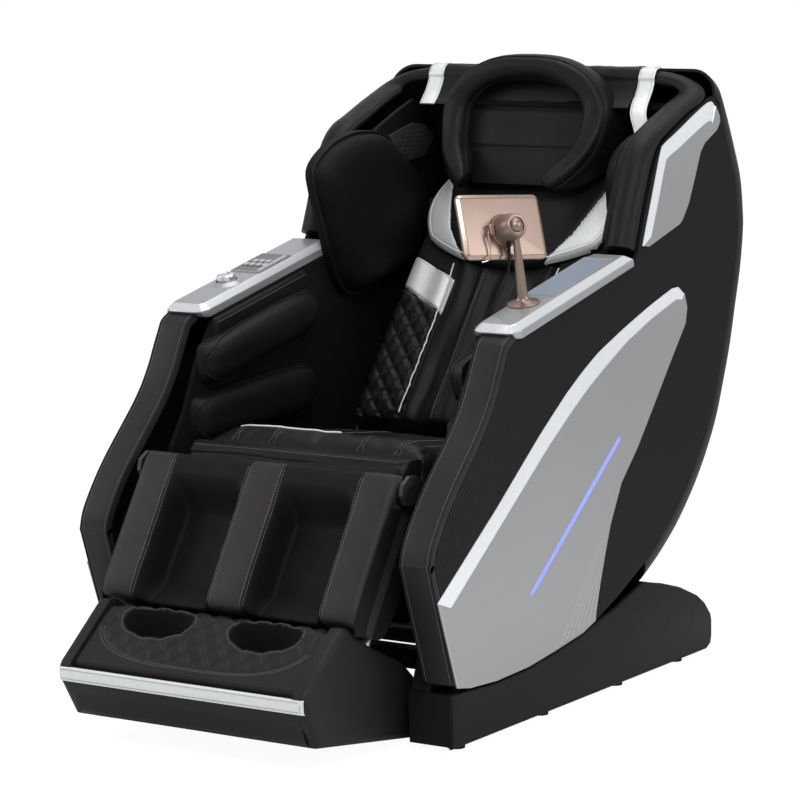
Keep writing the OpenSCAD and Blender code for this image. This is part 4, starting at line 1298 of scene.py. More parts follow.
class MASSAGE_CHAIR_OT_back_pad(bpy.types.Operator):
    """Back pad: draped middle, quilted wings, silver bands and ribbed patches"""
    bl_idname = "massage_chair.back_pad"
    bl_label = "Back Pad"

    def wing_seam(self, z):
        """Distance of a wing's seam from the middle."""
        return QUILT_EDGE + 10 * ease((z - 340) / 80)

    def execute(self, context):
        points, faces = closed_form(ON_BACK, 190, 200, back_front, lambda u, v: (
            (u - 0.5) * 478, 59.5, mix(32, 526, v)))
        pad = new_piece("back_pad_leather", points, faces, ["black_leather"], sharp=80)

        def choose(spot):
            p = local(ON_BACK, spot)
            if abs(p.x) < QUILT_EDGE or p.z < band_low(p.x) or p.y > 30:
                return 0
            if p.z < band_high(p.x):
                return 1
            return 2 if p.z < band_high(p.x) + 96 else 0

        painted_by(pad, ["draped_leather", "silver_leather", "ribbed_mesh"], choose)
        seat_in(pad, "capsule", "black_leather", "back_pad")
        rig.padded(pad, fill=0.6)
        skin = skin_of(pad)

        def line(spots):
            return laid([on(ON_BACK, x, -4, z) for x, z in spots], skin)

        edges, bands, middle, quilted = [], [], [], []
        for side in (-1, 1):
            edges.append(line([(side * self.wing_seam(z), z) for z in range(40, 420, 4)]))
            for level in (band_low, band_high):
                bands.append(line([(side * x, level(x) - 5) for x in range(QUILT_EDGE + 6, 226, 4)]))
            quilted += [line([(side * x, z) for x, z in run]) for run in quilt_seams(
                QUILT_EDGE + 4, 222, 44, 350, lambda x, z: z < band_low(x) - 6)]
            for x in (36, 43):
                middle.append(line([(side * x, z) for z in range(40, 500, 5)]))
        piping("back_white_piping", edges, skin, 1.6, 1.2, "white_piping", slot="silver_leather")
        stitches("back_band_stitches", bands, skin)
        stitches("back_middle_stitches", middle, skin)
        stitches("back_quilt_stitches", quilted, skin, thread="dark_thread", pitch=6.5)
        return {"FINISHED"}


def wing_edge(z):
    """Half width of the black middle of the neck flap."""
    stops = [(400, 88), (410, 92), (438, 115), (480, 146), (540, 168), (592, 184), (620, 206), (640, 240)]
    for (z0, x0), (z1, x1) in zip(stops, stops[1:]):
        if z <= z1:
            return mix(x0, x1, max(0, (z - z0) / (z1 - z0)))
    return 260


class MASSAGE_CHAIR_OT_neck_flap(bpy.types.Operator):
    """Flap over the neck with its silver wings"""
    bl_idname = "massage_chair.neck_flap"
    bl_label = "Neck Flap"

    def shape(self, u, v):
        x = (u - 0.5) * 462 * (0.86 + 0.14 * crown(v, 2))
        return x, mix(400 + 62 * (2 * u - 1) ** 2, 638, v)

    def execute(self, context):
        def front(u, v):
            x, z = self.shape(u, v)
            y = -24 - 13 * crown(u, 4) * crown(v, 3) + 9 * (2 * u - 1) ** 4
            y += 2.5 * dent(abs(x), wing_edge(z), 3.0) + 2.0 * wobble(x * 0.011, z * 0.013, 4)
            return x, y + 14 * (1 - sqrt(crown(v, 14))) + 12 * (1 - sqrt(crown(u, 30))), z

        def back(u, v):
            x, z = self.shape(u, v)
            return x, -2 * crown(v, 3) - 1.2, z

        points, faces = closed_form(ON_BACK, 150, 80, front, back)
        flap = new_piece("neck_flap_leather", points, faces, ["black_leather"], sharp=70)

        def choose(spot):
            p = local(ON_BACK, spot)
            return 1 if abs(p.x) > wing_edge(p.z) and p.y < -6 else 0

        painted_by(flap, ["black_leather", "silver_leather"], choose)
        seat_in(flap, "capsule", "neck_leather", "neck_flap")
        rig.padded(flap, fill=0.5)
        skin = skin_of(flap)
        rows, borders = [], []
        for side in (-1, 1):
            rows.append([on(ON_BACK, side * (wing_edge(z) + 5), -36, z) for z in range(412, 600, 4)])
            outer = [self.shape(0.985, v / 40) for v in range(36)]
            borders.append([on(ON_BACK, side * x, -30, z) for x, z in outer])
            rows.append([on(ON_BACK, side * (x - 8), -30, z) for x, z in outer])
            low = [self.shape(u / 100, 0.025) for u in range(70, 99)]
            borders[-1] = [on(ON_BACK, side * x, -28, z) for x, z in low] + borders[-1]
            rows.append([on(ON_BACK, side * x, -30, z + 7) for x, z in low[2:]])
        stitches("neck_flap_stitches", [laid(r, skin) for r in rows], skin, slot="silver_leather")
        piping("neck_flap_piping", borders, skin, 2.0, 1.0, "white_piping", slot="silver_leather")
        return {"FINISHED"}


class MASSAGE_CHAIR_OT_head_pillow(bpy.types.Operator):
    """Horseshoe head pillow with its inner cushion"""
    bl_idname = "massage_chair.head_pillow"
    bl_label = "Head Pillow"

    def stations(self):
        """Middle, front, rear, height, half width and lean of the ring, from end to end."""
        right = [Vector(p) for p in PILLOW_WING]
        left = [Vector((-p[0], p[1], p[2], p[3], p[4], -p[5])) for p in reversed(right)]
        return smooth_line(left + right[1:], 7)

    def ring_spot(self, line, i, a, grow=1.0):
        last = len(line) - 1
        s, p, q = line[i], line[max(i - 1, 0)], line[min(i + 1, last)]
        heading = Vector((q[0] - p[0], q[3] - p[3])).normalized()
        n = Vector((heading.y, -heading.x))
        across = s[4] * grow * (1 if cos(a) > 0 else -1) * abs(cos(a)) ** 0.62
        deep = (s[2] - s[1]) / 2 * grow * (1 if sin(a) > 0 else -1) * abs(sin(a)) ** 0.72
        lean = s[5] * 2 * deep / (s[2] - s[1])
        return Vector((s[0] - n.x * across + lean, (s[1] + s[2]) / 2 + deep, s[3] - n.y * across))

    def execute(self, context):
        line = self.stations()
        sides = 28
        last = len(line) - 1
        points = []
        for i in range(last + 1):
            end = min(i, last - i)
            taper = 0.97 * sqrt(1 - (1 - min(1, (end + 0.35) / 5)) ** 2)
            points += [at(*self.ring_spot(line, i, 2 * pi * k / sides, taper)) for k in range(sides)]
        ring = new_piece("pillow_ring", points, capped_faces(last + 1, sides), ["black_leather"], sharp=70)
        fill_out(ring, 7, 4, pressure=3.0)
        # seams where the ring's front face turns into its outer and inner walls
        outer = [at(*self.ring_spot(line, i, radians(-36), 0.98)) for i in range(3, last - 2)]
        inner = [at(*self.ring_spot(line, i, radians(-146), 0.98)) for i in range(3, last - 2)]
        sewn(ring, [outer, inner], 2.4, 4.0, pucker=0.5)
        creased(ring, 1.6, 9.0)
        seat_in(ring, "capsule", "black_leather", "head_pillow")
        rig.padded(ring, fill=0.8)
        skin = skin_of(ring)
        piping("pillow_piping", [outer], skin, 1.9, 0.6)
        rows = [[at(*self.ring_spot(line, i, radians(a), 0.98)) for i in range(4, last - 3)]
                for a in (-30, -152)]
        stitches("pillow_stitches", [laid(r, skin) for r in rows], skin, thread="dark_thread")

        def wide(v):
            return mix(228, 296, min(1, 2.5 * v))

        def front(u, v):
            y = mix(480, 550, v) - 7 * crown(u, 3) * crown(v, 3)
            y += 3.5 * dent(v, 0.34, 0.02) + 3.0 * dent(v, 0.72, 0.02)
            y += 2.5 * wobble(u * 3.0, v * 4.0, 7.0)
            return (u - 0.5) * wide(v), y, mix(968, 1184, v)

        points, faces = closed_form(ON_CHAIR, 60, 60, front, lambda u, v: (
            (u - 0.5) * wide(v), mix(491, 560, v) + 3 * crown(u, 3) * crown(v, 3), mix(968, 1184, v)))
        inner_pad = new_piece("pillow_cushion", points, faces, ["black_leather"], sharp=70)
        seat_in(inner_pad, "capsule", "black_leather")
        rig.padded(inner_pad, fill=0.6)
        return {"FINISHED"}


class MASSAGE_CHAIR_OT_head_straps(bpy.types.Operator):
    """Silver straps over the padded rim"""
    bl_idname = "massage_chair.head_straps"
    bl_label = "Head Straps"

    def execute(self, context):
        stock, rows = Stock(), []
        over = [(544, 1151), (560.5, 1178), (561.5, 1191), (570.5, 1205), (586, 1209.8), (600, 1208.6)]
        long, short = [(500, 1062), (503, 1090), (512, 1118)], [(520, 1128)]
        for side, start, spread in ((1, long, 27), (-1, short, -16)):
            middle = smooth_line(start + over, 8)
            points = []
            for i, spot in enumerate(middle):
                heading = heading_at(middle, i)
                normal = Vector((-heading.y, heading.x))
                for x, thick in STRAP_SECTION:
                    bend = spot + normal * (thick + 0.25 * wobble(x * 0.1, i * 0.4, 0))
                    points.append(at(side * (x + self.slant(bend.y, spread)), bend.x, bend.y))
            stock.add(points, capped_faces(len(middle), len(STRAP_SECTION)))
            for x in (236.5, 265.5):
                rows.append([at(side * (x + self.slant(p.y, spread)), p.x, p.y + 2) for p in middle])
        straps = stock.piece("head_straps_leather", ["silver_leather"], sharp=60)
        seat_in(straps, "capsule", "silver_leather", "head_straps")
        stitches("strap_stitches", rows, skin_of(straps), "capsule", "silver_leather")
        self.top_flap(middle)
        return {"FINISHED"}

    def slant(self, z, spread):
        """Sideways lean of a strap below the rim."""
        return spread * ease((1150 - z) / 90)

    def top_flap(self, middle):
        """Black leather that lies over the rim between the straps and carries the pillow."""
        line = [p for p in middle if p.y > 1120 or p.x > 540]
        points, columns = [], 60
        for lift in (-0.4, -2.2):
            for i, spot in enumerate(line):
                heading = heading_at(line, i)
                normal = Vector((-heading.y, heading.x))
                for k in range(columns + 1):
                    x = mix(-231, 231, k / columns)
                    fold = 1.6 * wobble(x * 0.02, i * 0.16, 4)
                    fold += 0.8 * wobble(x * 0.06, i * 0.05, 9)
                    bend = spot + normal * (lift + 1.8 + fold * (lift > -1))
                    points.append(at(x, bend.x, bend.y))
        rows, wide = len(line), columns + 1
        faces = grid_faces(rows, wide) + grid_faces(rows, wide, start=rows * wide)
        flap = new_piece("pillow_flap", points, faces, ["black_leather"], sharp=70)
        seat_in(flap, "capsule", "black_leather")
        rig.sheet(flap, flat=(0.462, 0.11), held="draped", rests_on=["hood_rim"])


class MASSAGE_CHAIR_OT_hood(bpy.types.Operator):
    """Padded rim, lining and speakers of the hood"""
    bl_idname = "massage_chair.hood"
    bl_label = "Hood"

    def execute(self, context):
        mirrored = [(-x, y, z, a, b) for x, y, z, a, b in reversed(RIM[:-1])]
        stations = [Vector(s) for s in RIM + mirrored]
        path = smooth_line([s[:3] for s in stations], 6)
        radii = smooth_line([(s[3], s[4], 0) for s in stations], 6)
        points, sides = [], 28
        flat = Vector((0, -0.55, 0.83))
        seams = [[], []]
        for i, spot in enumerate(path):
            heading = heading_at(path, i)
            across = heading.cross(flat).normalized()
            upward = across.cross(heading)
            wide, deep = radii[i].x - 0.6, radii[i].y - 0.4
            for k in range(sides):
                a = 2 * pi * k / sides
                points.append(at(*(spot + across * (wide * cos(a)) + upward * (deep * sin(a)))))
            for line, a in zip(seams, (radians(38), radians(142))):
                line.append(at(*(spot + across * (wide * cos(a)) + upward * (deep * sin(a)))))
        faces = capped_faces(len(path), sides)
        rim = new_piece("hood_rim_leather", points, faces, ["black_leather"], sharp=70)
        sewn(rim, seams, 1.6, 3.0, pucker=0.3)
        seat_in(rim, "capsule", "black_leather", "hood_rim")
        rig.padded(rim, fill=0.8)
        skin = skin_of(rim)
        for number, seam in enumerate(seams):
            piping("rim_piping_%d" % (number + 1), [seam[4:-4]], skin, 1.5, 0.2)
        self.speakers()
        dressed("hood_lining", "lining_leather")
        dressed("arm_inners", "lining_leather")
        return {"FINISHED"}

    def speakers(self):
        """Speaker covers: a dark plate with rows of raised slats."""
        stock = Stock()
        ring = [(440, 1062), (538, 1086), (590, 1080), (630, 1052), (586, 1012), (500, 1002)]
        points, faces = plate(ring, 0, 4, 1.5)
        stock.add([Vector((298 * MM - p.x, p.y, p.z)) for p in points], faces)
        for row in range(7):
            for column in range(5):
                y, z = 486 + 20 * column + 5 * row, 1014 + 9 * row
                if y > 600 - 1.6 * abs(z - 1050):
                    continue
                slat = [at(294.5 - d, y + l, z + l * 0.3 + h) for d, l, h in (
                    (0, -7, -2), (0, 7, -2), (2.4, 6.4, 0), (2.4, -6.4, 0), (0, -7, 2), (0, 7, 2))]
                stock.add(slat, [[0, 1, 2, 3], [3, 2, 5, 4], [0, 3, 4], [1, 5, 2], [0, 4, 5, 1]])
        stock.mirrored()
        covers = stock.piece("speaker_covers", ["speaker_plastic"], sharp=30)
        seat_in(covers, "capsule", "grille", "speaker_grilles")


class MASSAGE_CHAIR_OT_shoulder_pads(bpy.types.Operator):
    """Teardrop shoulder pads with a double edge"""
    bl_idname = "massage_chair.shoulder_pads"
    bl_label = "Shoulder Pads"

    def folded(self, spot, length):
        """A pad's point, its reach forward from the rear edge cut to that share."""
        return Vector((572 + (spot.x - 572) * length, spot.y))

    def execute(self, context):
        ring = smooth_line(SHOULDER, 6, closed=True)
        rings = [(1.0, 0), (1.0, 8), (0.995, 15), (0.975, 19), (0.962, 18), (0.955, 20), (0.95, 26),
                 (0.925, 35), (0.87, 43), (0.76, 49), (0.6, 52.5), (0.4, 54), (0.2, 54.6)]
        stock = Stock()
        faces = capped_faces(len(rings), len(ring))
        for side, length, off in PAD_SIDES:
            points = []
            for share, depth in rings:
                for k, spot in enumerate(ring):
                    p = self.folded(SHOULDER_MIDDLE.lerp(spot, share), length)
                    ripple = 0.8 * wobble(k * 0.25, depth * 0.1, 3) * (depth > 5)
                    points.append(at(side * (299.4 - off - depth - ripple), p.x, p.y))
            stock.add(points, faces)
        pads = stock.piece("shoulder_pads_leather", ["matte_leather"], sharp=80)
        seat_in(pads, "capsule", "matte_leather", "shoulder_pads")
        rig.padded(pads, fill=0.8)
        skin = skin_of(pads)
        edge = []
        for side, length, off in PAD_SIDES:
            loop = [self.folded(SHOULDER_MIDDLE.lerp(p, 0.99), length) for p in ring]
            edge.append([at(side * (282 - off), p.x, p.y) for p in loop])
        piping("shoulder_piping", edge, skin, 2.2, 0.8, closed=True)
        return {"FINISHED"}


class MASSAGE_CHAIR_OT_arm_pads(bpy.types.Operator):
    """Upper and lower air pads of the arms, with the padded band under each armrest"""
    bl_idname = "massage_chair.arm_pads"
    bl_label = "Arm Pads"

    def pad(self, length, height, depth, y, z, slope):
        """An air pad hung on the inner wall from its top rear corner."""
        lie = hinged(0, y, z, slope)

        def rounded(u, v):
            a, b = 2 * u - 1, 2 * v - 1
            return a * sqrt(max(0, 1 - 0.10 * b * b * b * b)), b * sqrt(max(0, 1 - 0.30 * a ** 6))

        def front(u, v):
            a, b = rounded(u, v)
            fold = 1.2 * wobble(u * 6, v * 3, length)
            lean = depth * (0.30 + 0.70 * sqrt(crown(u, 8) * crown(v, 3))) + fold
            return 299.5 - lean, -length / 2 + a * (length / 2 - 5), -height / 2 + b * (height / 2 - 3)

        def back(u, v):
            a, b = rounded(u, v)
            return 299.5, -length / 2 + a * (length / 2 - 1), -height / 2 + b * (height / 2 - 1)

        points, faces = closed_form(lie, 60, 24, front, back)
        edge = []
        for k in range(160):
            t = 2 * pi * k / 160
            u = 0.5 + 0.5 * (1 if cos(t) > 0 else -1) * abs(cos(t)) ** 0.35
            v = 0.5 + 0.5 * (1 if sin(t) > 0 else -1) * abs(sin(t)) ** 0.35
            edge.append(on(lie, *front(u, v)))
        return points, faces, edge

    def execute(self, context):
        stock, edges = Stock(), []
        for values in ((400, 92, 45, 130, 778, 12.7), (420, 102, 39, 140, 621, 4.0)):
            points, faces, edge = self.pad(*values)
            stock.add(points, faces)
            edges += [edge, flipped(edge)]
        stock.mirrored()
        pads = stock.piece("arm_pads_leather", ["black_leather"], sharp=80)
        seat_in(pads, "capsule", "black_leather", "arm_pads")
        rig.padded(pads, fill=0.7)
        skin = skin_of(pads)
        piping("arm_pad_piping", edges, skin, 2.0, 0.5, closed=True)

        def front(u, v):
            y = mix(-196, 128, u)
            puff = 9 * sqrt(crown(v, 3) * crown(u, 30)) + wobble(u * 5, v * 2, 1)
            return 299 - puff, y, arm_height(y) - 4 - mix(46, 0, v)

        def back(u, v):
            y = mix(-197, 129, u)
            return 299.4, y, arm_height(y) - 4 - mix(47, 0, v)

        stock = Stock()
        stock.add(*closed_form(ON_CHAIR, 60, 12, front, back)).mirrored()
        bands = stock.piece("arm_bands", ["black_leather"], sharp=70)
        seat_in(bands, "capsule", "black_leather")
        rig.padded(bands, fill=0.6)
        skin = skin_of(bands)
        rows = [[at(side * 292, y, arm_height(y) - drop) for y in range(-188, 124, 5)]
                for side in (-1, 1) for drop in (13, 42)]
        stitches("arm_band_stitches", rows, skin)
        return {"FINISHED"}


class MASSAGE_CHAIR_OT_front_bands(bpy.types.Operator):
    """Padded bands on the front edges of the sides"""
    bl_idname = "massage_chair.front_bands"
    bl_label = "Front Bands"

    def execute(self, context):
        edge = smooth_line(FRONT_EDGE, 8)[2:]
        stock = Stock()
        points, outer, inner = [], [], []
        profile = [(325.3, 15), (325.3, 5), (326.5, 1.8), (330, 0.8), (345, 0.1), (358, 0), (371, 0.1),
                   (385, 0.8), (388.4, 1.8), (389.6, 5), (389.6, 15)]
        for i, spot in enumerate(edge):
            heading = heading_at(edge, i)
            inward = Vector((-heading.y, heading.x))
            if inward.x < 0:
                inward = -inward
            for x, depth in profile:
                ripple = 0.5 * wobble(x * 0.03, i * 0.2, 6)
                p = spot + inward * (depth + ripple + 0.4)
                points.append(at(x, p.x, p.y))
            for line, x, depth in ((outer, 388.2, 2.0), (inner, 326.8, 2.0)):
                p = spot + inward * depth
                line.append(at(x, p.x, p.y))
        stock.add(points, capped_faces(len(edge), len(profile))).mirrored()
        bands = stock.piece("front_bands_leather", ["band_leather"], sharp=60)
        seat_in(bands, "capsule", "black_leather", "front_bands")
        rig.padded(bands, fill=0.7)
        skin = skin_of(bands)
        lines = [outer, inner, flipped(outer), flipped(inner)]
        piping("front_band_piping", lines, skin, 1.7, 0.4)
        rows = [[p + self.to_middle(p) for p in line] for line in lines]
        stitches("front_band_stitches", [laid(r, skin) for r in rows], skin)
        return {"FINISHED"}

    def to_middle(self, spot):
        """A short step from a band's piping to its middle."""
        step = 5.0 * MM if (abs(spot.x) > 0.36) == (spot.x < 0) else -5.0 * MM
        return Vector((step, 0, 0))


class MASSAGE_CHAIR_OT_calf_pad(bpy.types.Operator):
    """Calf trough: three leather ridges with two deep channels"""
    bl_idname = "massage_chair.calf_pad"
    bl_label = "Calf Pad"

    def channel(self, x):
        """0 on the ridges and 1 in the channels."""
        return ease((self.to_ridge(x) - RIDGE_HALF + 1) / 30)

    def height(self, v):
        return mix(-273, -6, v) + 28 * v * v

    def front(self, u, v):
        x, z = (u - 0.5) * 558, self.height(v)
        depth = 60 * ease((-16 - z) / 66) * (0.45 + 0.55 * min(1, 5 * v))
        deep = self.channel(x)
        y = -35 + deep * depth + 14 * (1 - sqrt(crown(v, 10))) + 7 * (1 - sqrt(crown(u, 40)))
        ridge = 1 - deep
        y += 1.8 * dent(self.to_ridge(x), RIDGE_HALF, 2.4) * (z < -14)
        y -= 1.5 * ridge * crown(min(1, max(0, 0.5 + self.to_ridge(x) / (2 * RIDGE_HALF))), 2)
        y += 1.6 * wobble(x * 0.014, z * 0.02, 3) * (0.4 + 0.6 * ridge)
        y += 3.0 * wobble(x * 0.02, z * 0.012, 8) * deep * ease((z + 250) / 100)
        return x, y, z

    def to_ridge(self, x):
        """Distance from the middle of the nearest ridge."""
        return min(abs(x - middle) for middle in RIDGES)

    def execute(self, context):
        def back(u, v):
            z = -24 + (self.height(1) + 24) * (v - 0.9) * 10 if v > 0.85 else mix(-273, -24, v / 0.85)
            return (u - 0.5) * 566, (-18.5 if v > 0.85 else 39.5), min(z, self.height(1))

        points, faces = closed_form(ON_LEG, 230, 72, self.front, back)
        pad = new_piece("calf_pad_leather", points, faces, ["black_leather"], sharp=75)

        def choose(spot):
            p = local(ON_LEG, spot)
            return 1 if p.y <= 34 and self.to_ridge(p.x) < RIDGE_HALF else 0

        painted_by(pad, ["matte_leather", "ridge_leather"], choose)
        seat_in(pad, "leg_rest", "black_leather", "calf_pad")
        self.skirts()
        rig.padded(pad, fill=0.7)
        skin = skin_of(pad)
        rows, seams = [], []
        for middle in RIDGES:
            for side in (-1, 1):
                for away, lines in ((33.5, rows), (39.5, rows), (36.5, seams)):
                    x = middle + side * away
                    if abs(x) < 277:
                        lines.append([on(ON_LEG, *self.front(x / 558 + 0.5, v / 60)) for v in range(2, 58)])
        stitches("calf_stitches", rows, skin, "leg_rest")
        piping("calf_piping", seams, skin, 1.2, 0.0, body="leg_rest")
        return {"FINISHED"}

    def skirts(self):
        """Ribbed cloth that closes the pad's sides behind it."""
        stock = Stock()
        outline = [(-20, -8), (36, -6), (78, -40), (92, -120), (88, -225), (70, -262), (30, -272),
                   (-24, -268)]
        ring = smooth_line(outline, 3, closed=True)
        points = [on(ON_LEG, x, p.x, p.y) for x in (278.5, 281.6) for p in ring]
        stock.add(points, capped_faces(2, len(ring))).mirrored()
        skirts = stock.piece("calf_skirts", ["ribbed_mesh"], sharp=50)
        seat_in(skirts, "leg_rest", "black_leather")


def foot_top(y):
    """Height of the footrest's top line at that y."""
    for (y0, z0), (y1, z1) in zip(FOOT_TOP, FOOT_TOP[1:]):
        if y <= y1:
            return mix(z0, z1, (y - y0) / (y1 - y0))
    return FOOT_TOP[-1][1]


class MASSAGE_CHAIR_OT_footrest(bpy.types.Operator):
    """Footrest: leather casing with a silver band, and the pad with its two foot wells"""
    bl_idname = "massage_chair.footrest"
    bl_label = "Footrest"

    def execute(self, context):
        stock = Stock()
        stock.add(*plate(FOOT_SIDE, 244, 272, 12, steps=5)).mirrored()
        line = smooth_line(FOOT_FRONT, 3)
        back = [p + Vector((9, 5)) for p in line]
        points, columns = [], 60
        for p, q in zip(line, back):
            for k in range(columns + 1):
                x = mix(-250, 250, k / columns)
                fold = 1.0 * wobble(x * 0.01, p.y * 0.03, 2)
                points.append(at(x, p.x + fold, p.y))
        outer = grid_faces(len(line), columns + 1)
        count = len(points)
        across = [mix(-250, 250, k / columns) for k in range(columns + 1)]
        points += [at(x, q.x, max(q.y, 8)) for q in back for x in across]
        inner = grid_faces(len(line), columns + 1, start=count)
        stock.add(points, outer + inner)
        casing = stock.piece("footrest_leather", ["casing_leather"], sharp=50)
        seat_in(casing, "footrest", "shell_plastic", "footrest_shell")
        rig.padded(casing, fill=0.9)
        self.rods()
        self.band()
        self.pad(skin_of(casing))
        dressed("sole_roller", "kneading_plastic")
        return {"FINISHED"}

    def rods(self):
        """Slide rods that stand in the footrest's cheeks."""
        stock = Stock()
        for x in (-258, 258):
            stock.add(*tube([on(ON_LEG, x, 64, z) for z in (-396, -300, -200, -100, -21)], 9, sides=24))
        rods = stock.piece("footrest_rods", ["bright_steel"], sharp=40)
        seat_in(rods, "footrest", "shell_plastic")

    def band(self):
        """Silver band along the top of the front face."""
        points = []
        profile = [(-733.0, 147), (-735.4, 146), (-736.3, 143), (-735.4, 132), (-734.0, 122), (-732.6, 119.5),
                   (-730.6, 120)]
        columns = 90
        for y, z in profile:
            for k in range(columns + 1):
                x = mix(-268, 268, k / columns)
                pucker = 0.35 * wobble(x * 0.05, z * 0.1, 5)
                points.append(at(x, y + pucker + 2.5 * max(0, (abs(x) - 258) / 10) ** 2, z))
        faces = grid_faces(len(profile), columns + 1)
        band = new_piece("footrest_band", points, faces, ["silver_leather"], sharp=60)
        thicken = band.modifiers.new("thicken", "SOLIDIFY")
        thicken.thickness = 1.2 * MM
        thicken.offset = -1
        shown_mesh(band)
        seat_in(band, "footrest", "silver_leather")
        skin = skin_of(band)
        rows = [[at(x, -738, z) for x in range(-262, 264, 6)] for z in (141.5, 123.5)]
        rows.append([at(261, -738, z) for z in range(122, 146, 4)])
        stitches("footrest_band_stitches", [laid(r, skin) for r in rows], skin, "footrest", "silver_leather")

    def wells(self, x, y):
        """1 in the middle of a foot well, 0 on its edge and outside it; x and y on the top face."""
        return max(0, 1 - ((abs(x) - WELL_X) / 76) ** 2 - ((y - WELL_Y) / 36) ** 2)

    def crescent(self, x, y):
        """Positive inside the quilted field."""
        return 1 - abs(x / 228) ** 3.2 - (max(0, -640 - y) / 68) ** 2

    def top(self, u, v):
        x, y = (u - 0.5) * 487, mix(-722, -486, v)
        z = foot_top(y) - 2 - 7 * dent(y, -601, 22)
        well = self.wells(x, y)
        z -= 70 * ease(well * 1.15)
        if well < 0.02 and self.crescent(x, y) > 0:
            z += quilt(x, y * 1.1, 3.0) * min(1, self.crescent(x, y) * 6)
        z -= 2.5 * dent(self.crescent(x, y), 0, 0.03) + 2.5 * dent(well, -0.06, 0.05)
        z += 1.4 * wobble(x * 0.012, y * 0.02, 4)
        return x, y, z - 6 * (1 - sqrt(crown(u, 40)))

    def pad(self, skin):
        points, faces = closed_form(ON_CHAIR, 260, 170, self.top, lambda u, v: (
            (u - 0.5) * 487, mix(-716, -488, v), mix(118, 70, v)))
        pad = new_piece("foot_pad_leather", points, faces, ["casing_leather"], sharp=70)

        def choose(spot):
            p = local(ON_CHAIR, spot)
            return 1 if self.wells(p.x, p.y) > 0.03 else 0

        painted_by(pad, ["casing_leather", "well_cloth"], choose)
        seat_in(pad, "footrest", "black_leather", "foot_pad")
        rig.padded(pad, fill=0.7)
        skin = skin_of(pad)

        def line(spots):
            return laid([at(x, y, self.top(x / 487 + 0.5, (y + 722) / 236)[2] + 1) for x, y in spots], skin)

        field, edges = [], []
        for k in range(90):
            x = mix(-226, 226, k / 89)
            room = 1 - abs(x / 228) ** 3.2
            field.append((x, -640 - 68 * sqrt(max(0, room))))
        for grow in (1.0, 1.02):
            edges.append(line([(x * grow, max(-718, y - 5 * (grow - 1) / 0.02)) for x, y in field]))
        for middle in (-WELL_X, WELL_X):
            turn = [a * pi / 30 for a in range(61)]
            edges.append(line([(middle + 80 * cos(a), WELL_Y + 40 * sin(a)) for a in turn]))
        stitches("foot_pad_stitches", edges, skin, "footrest")


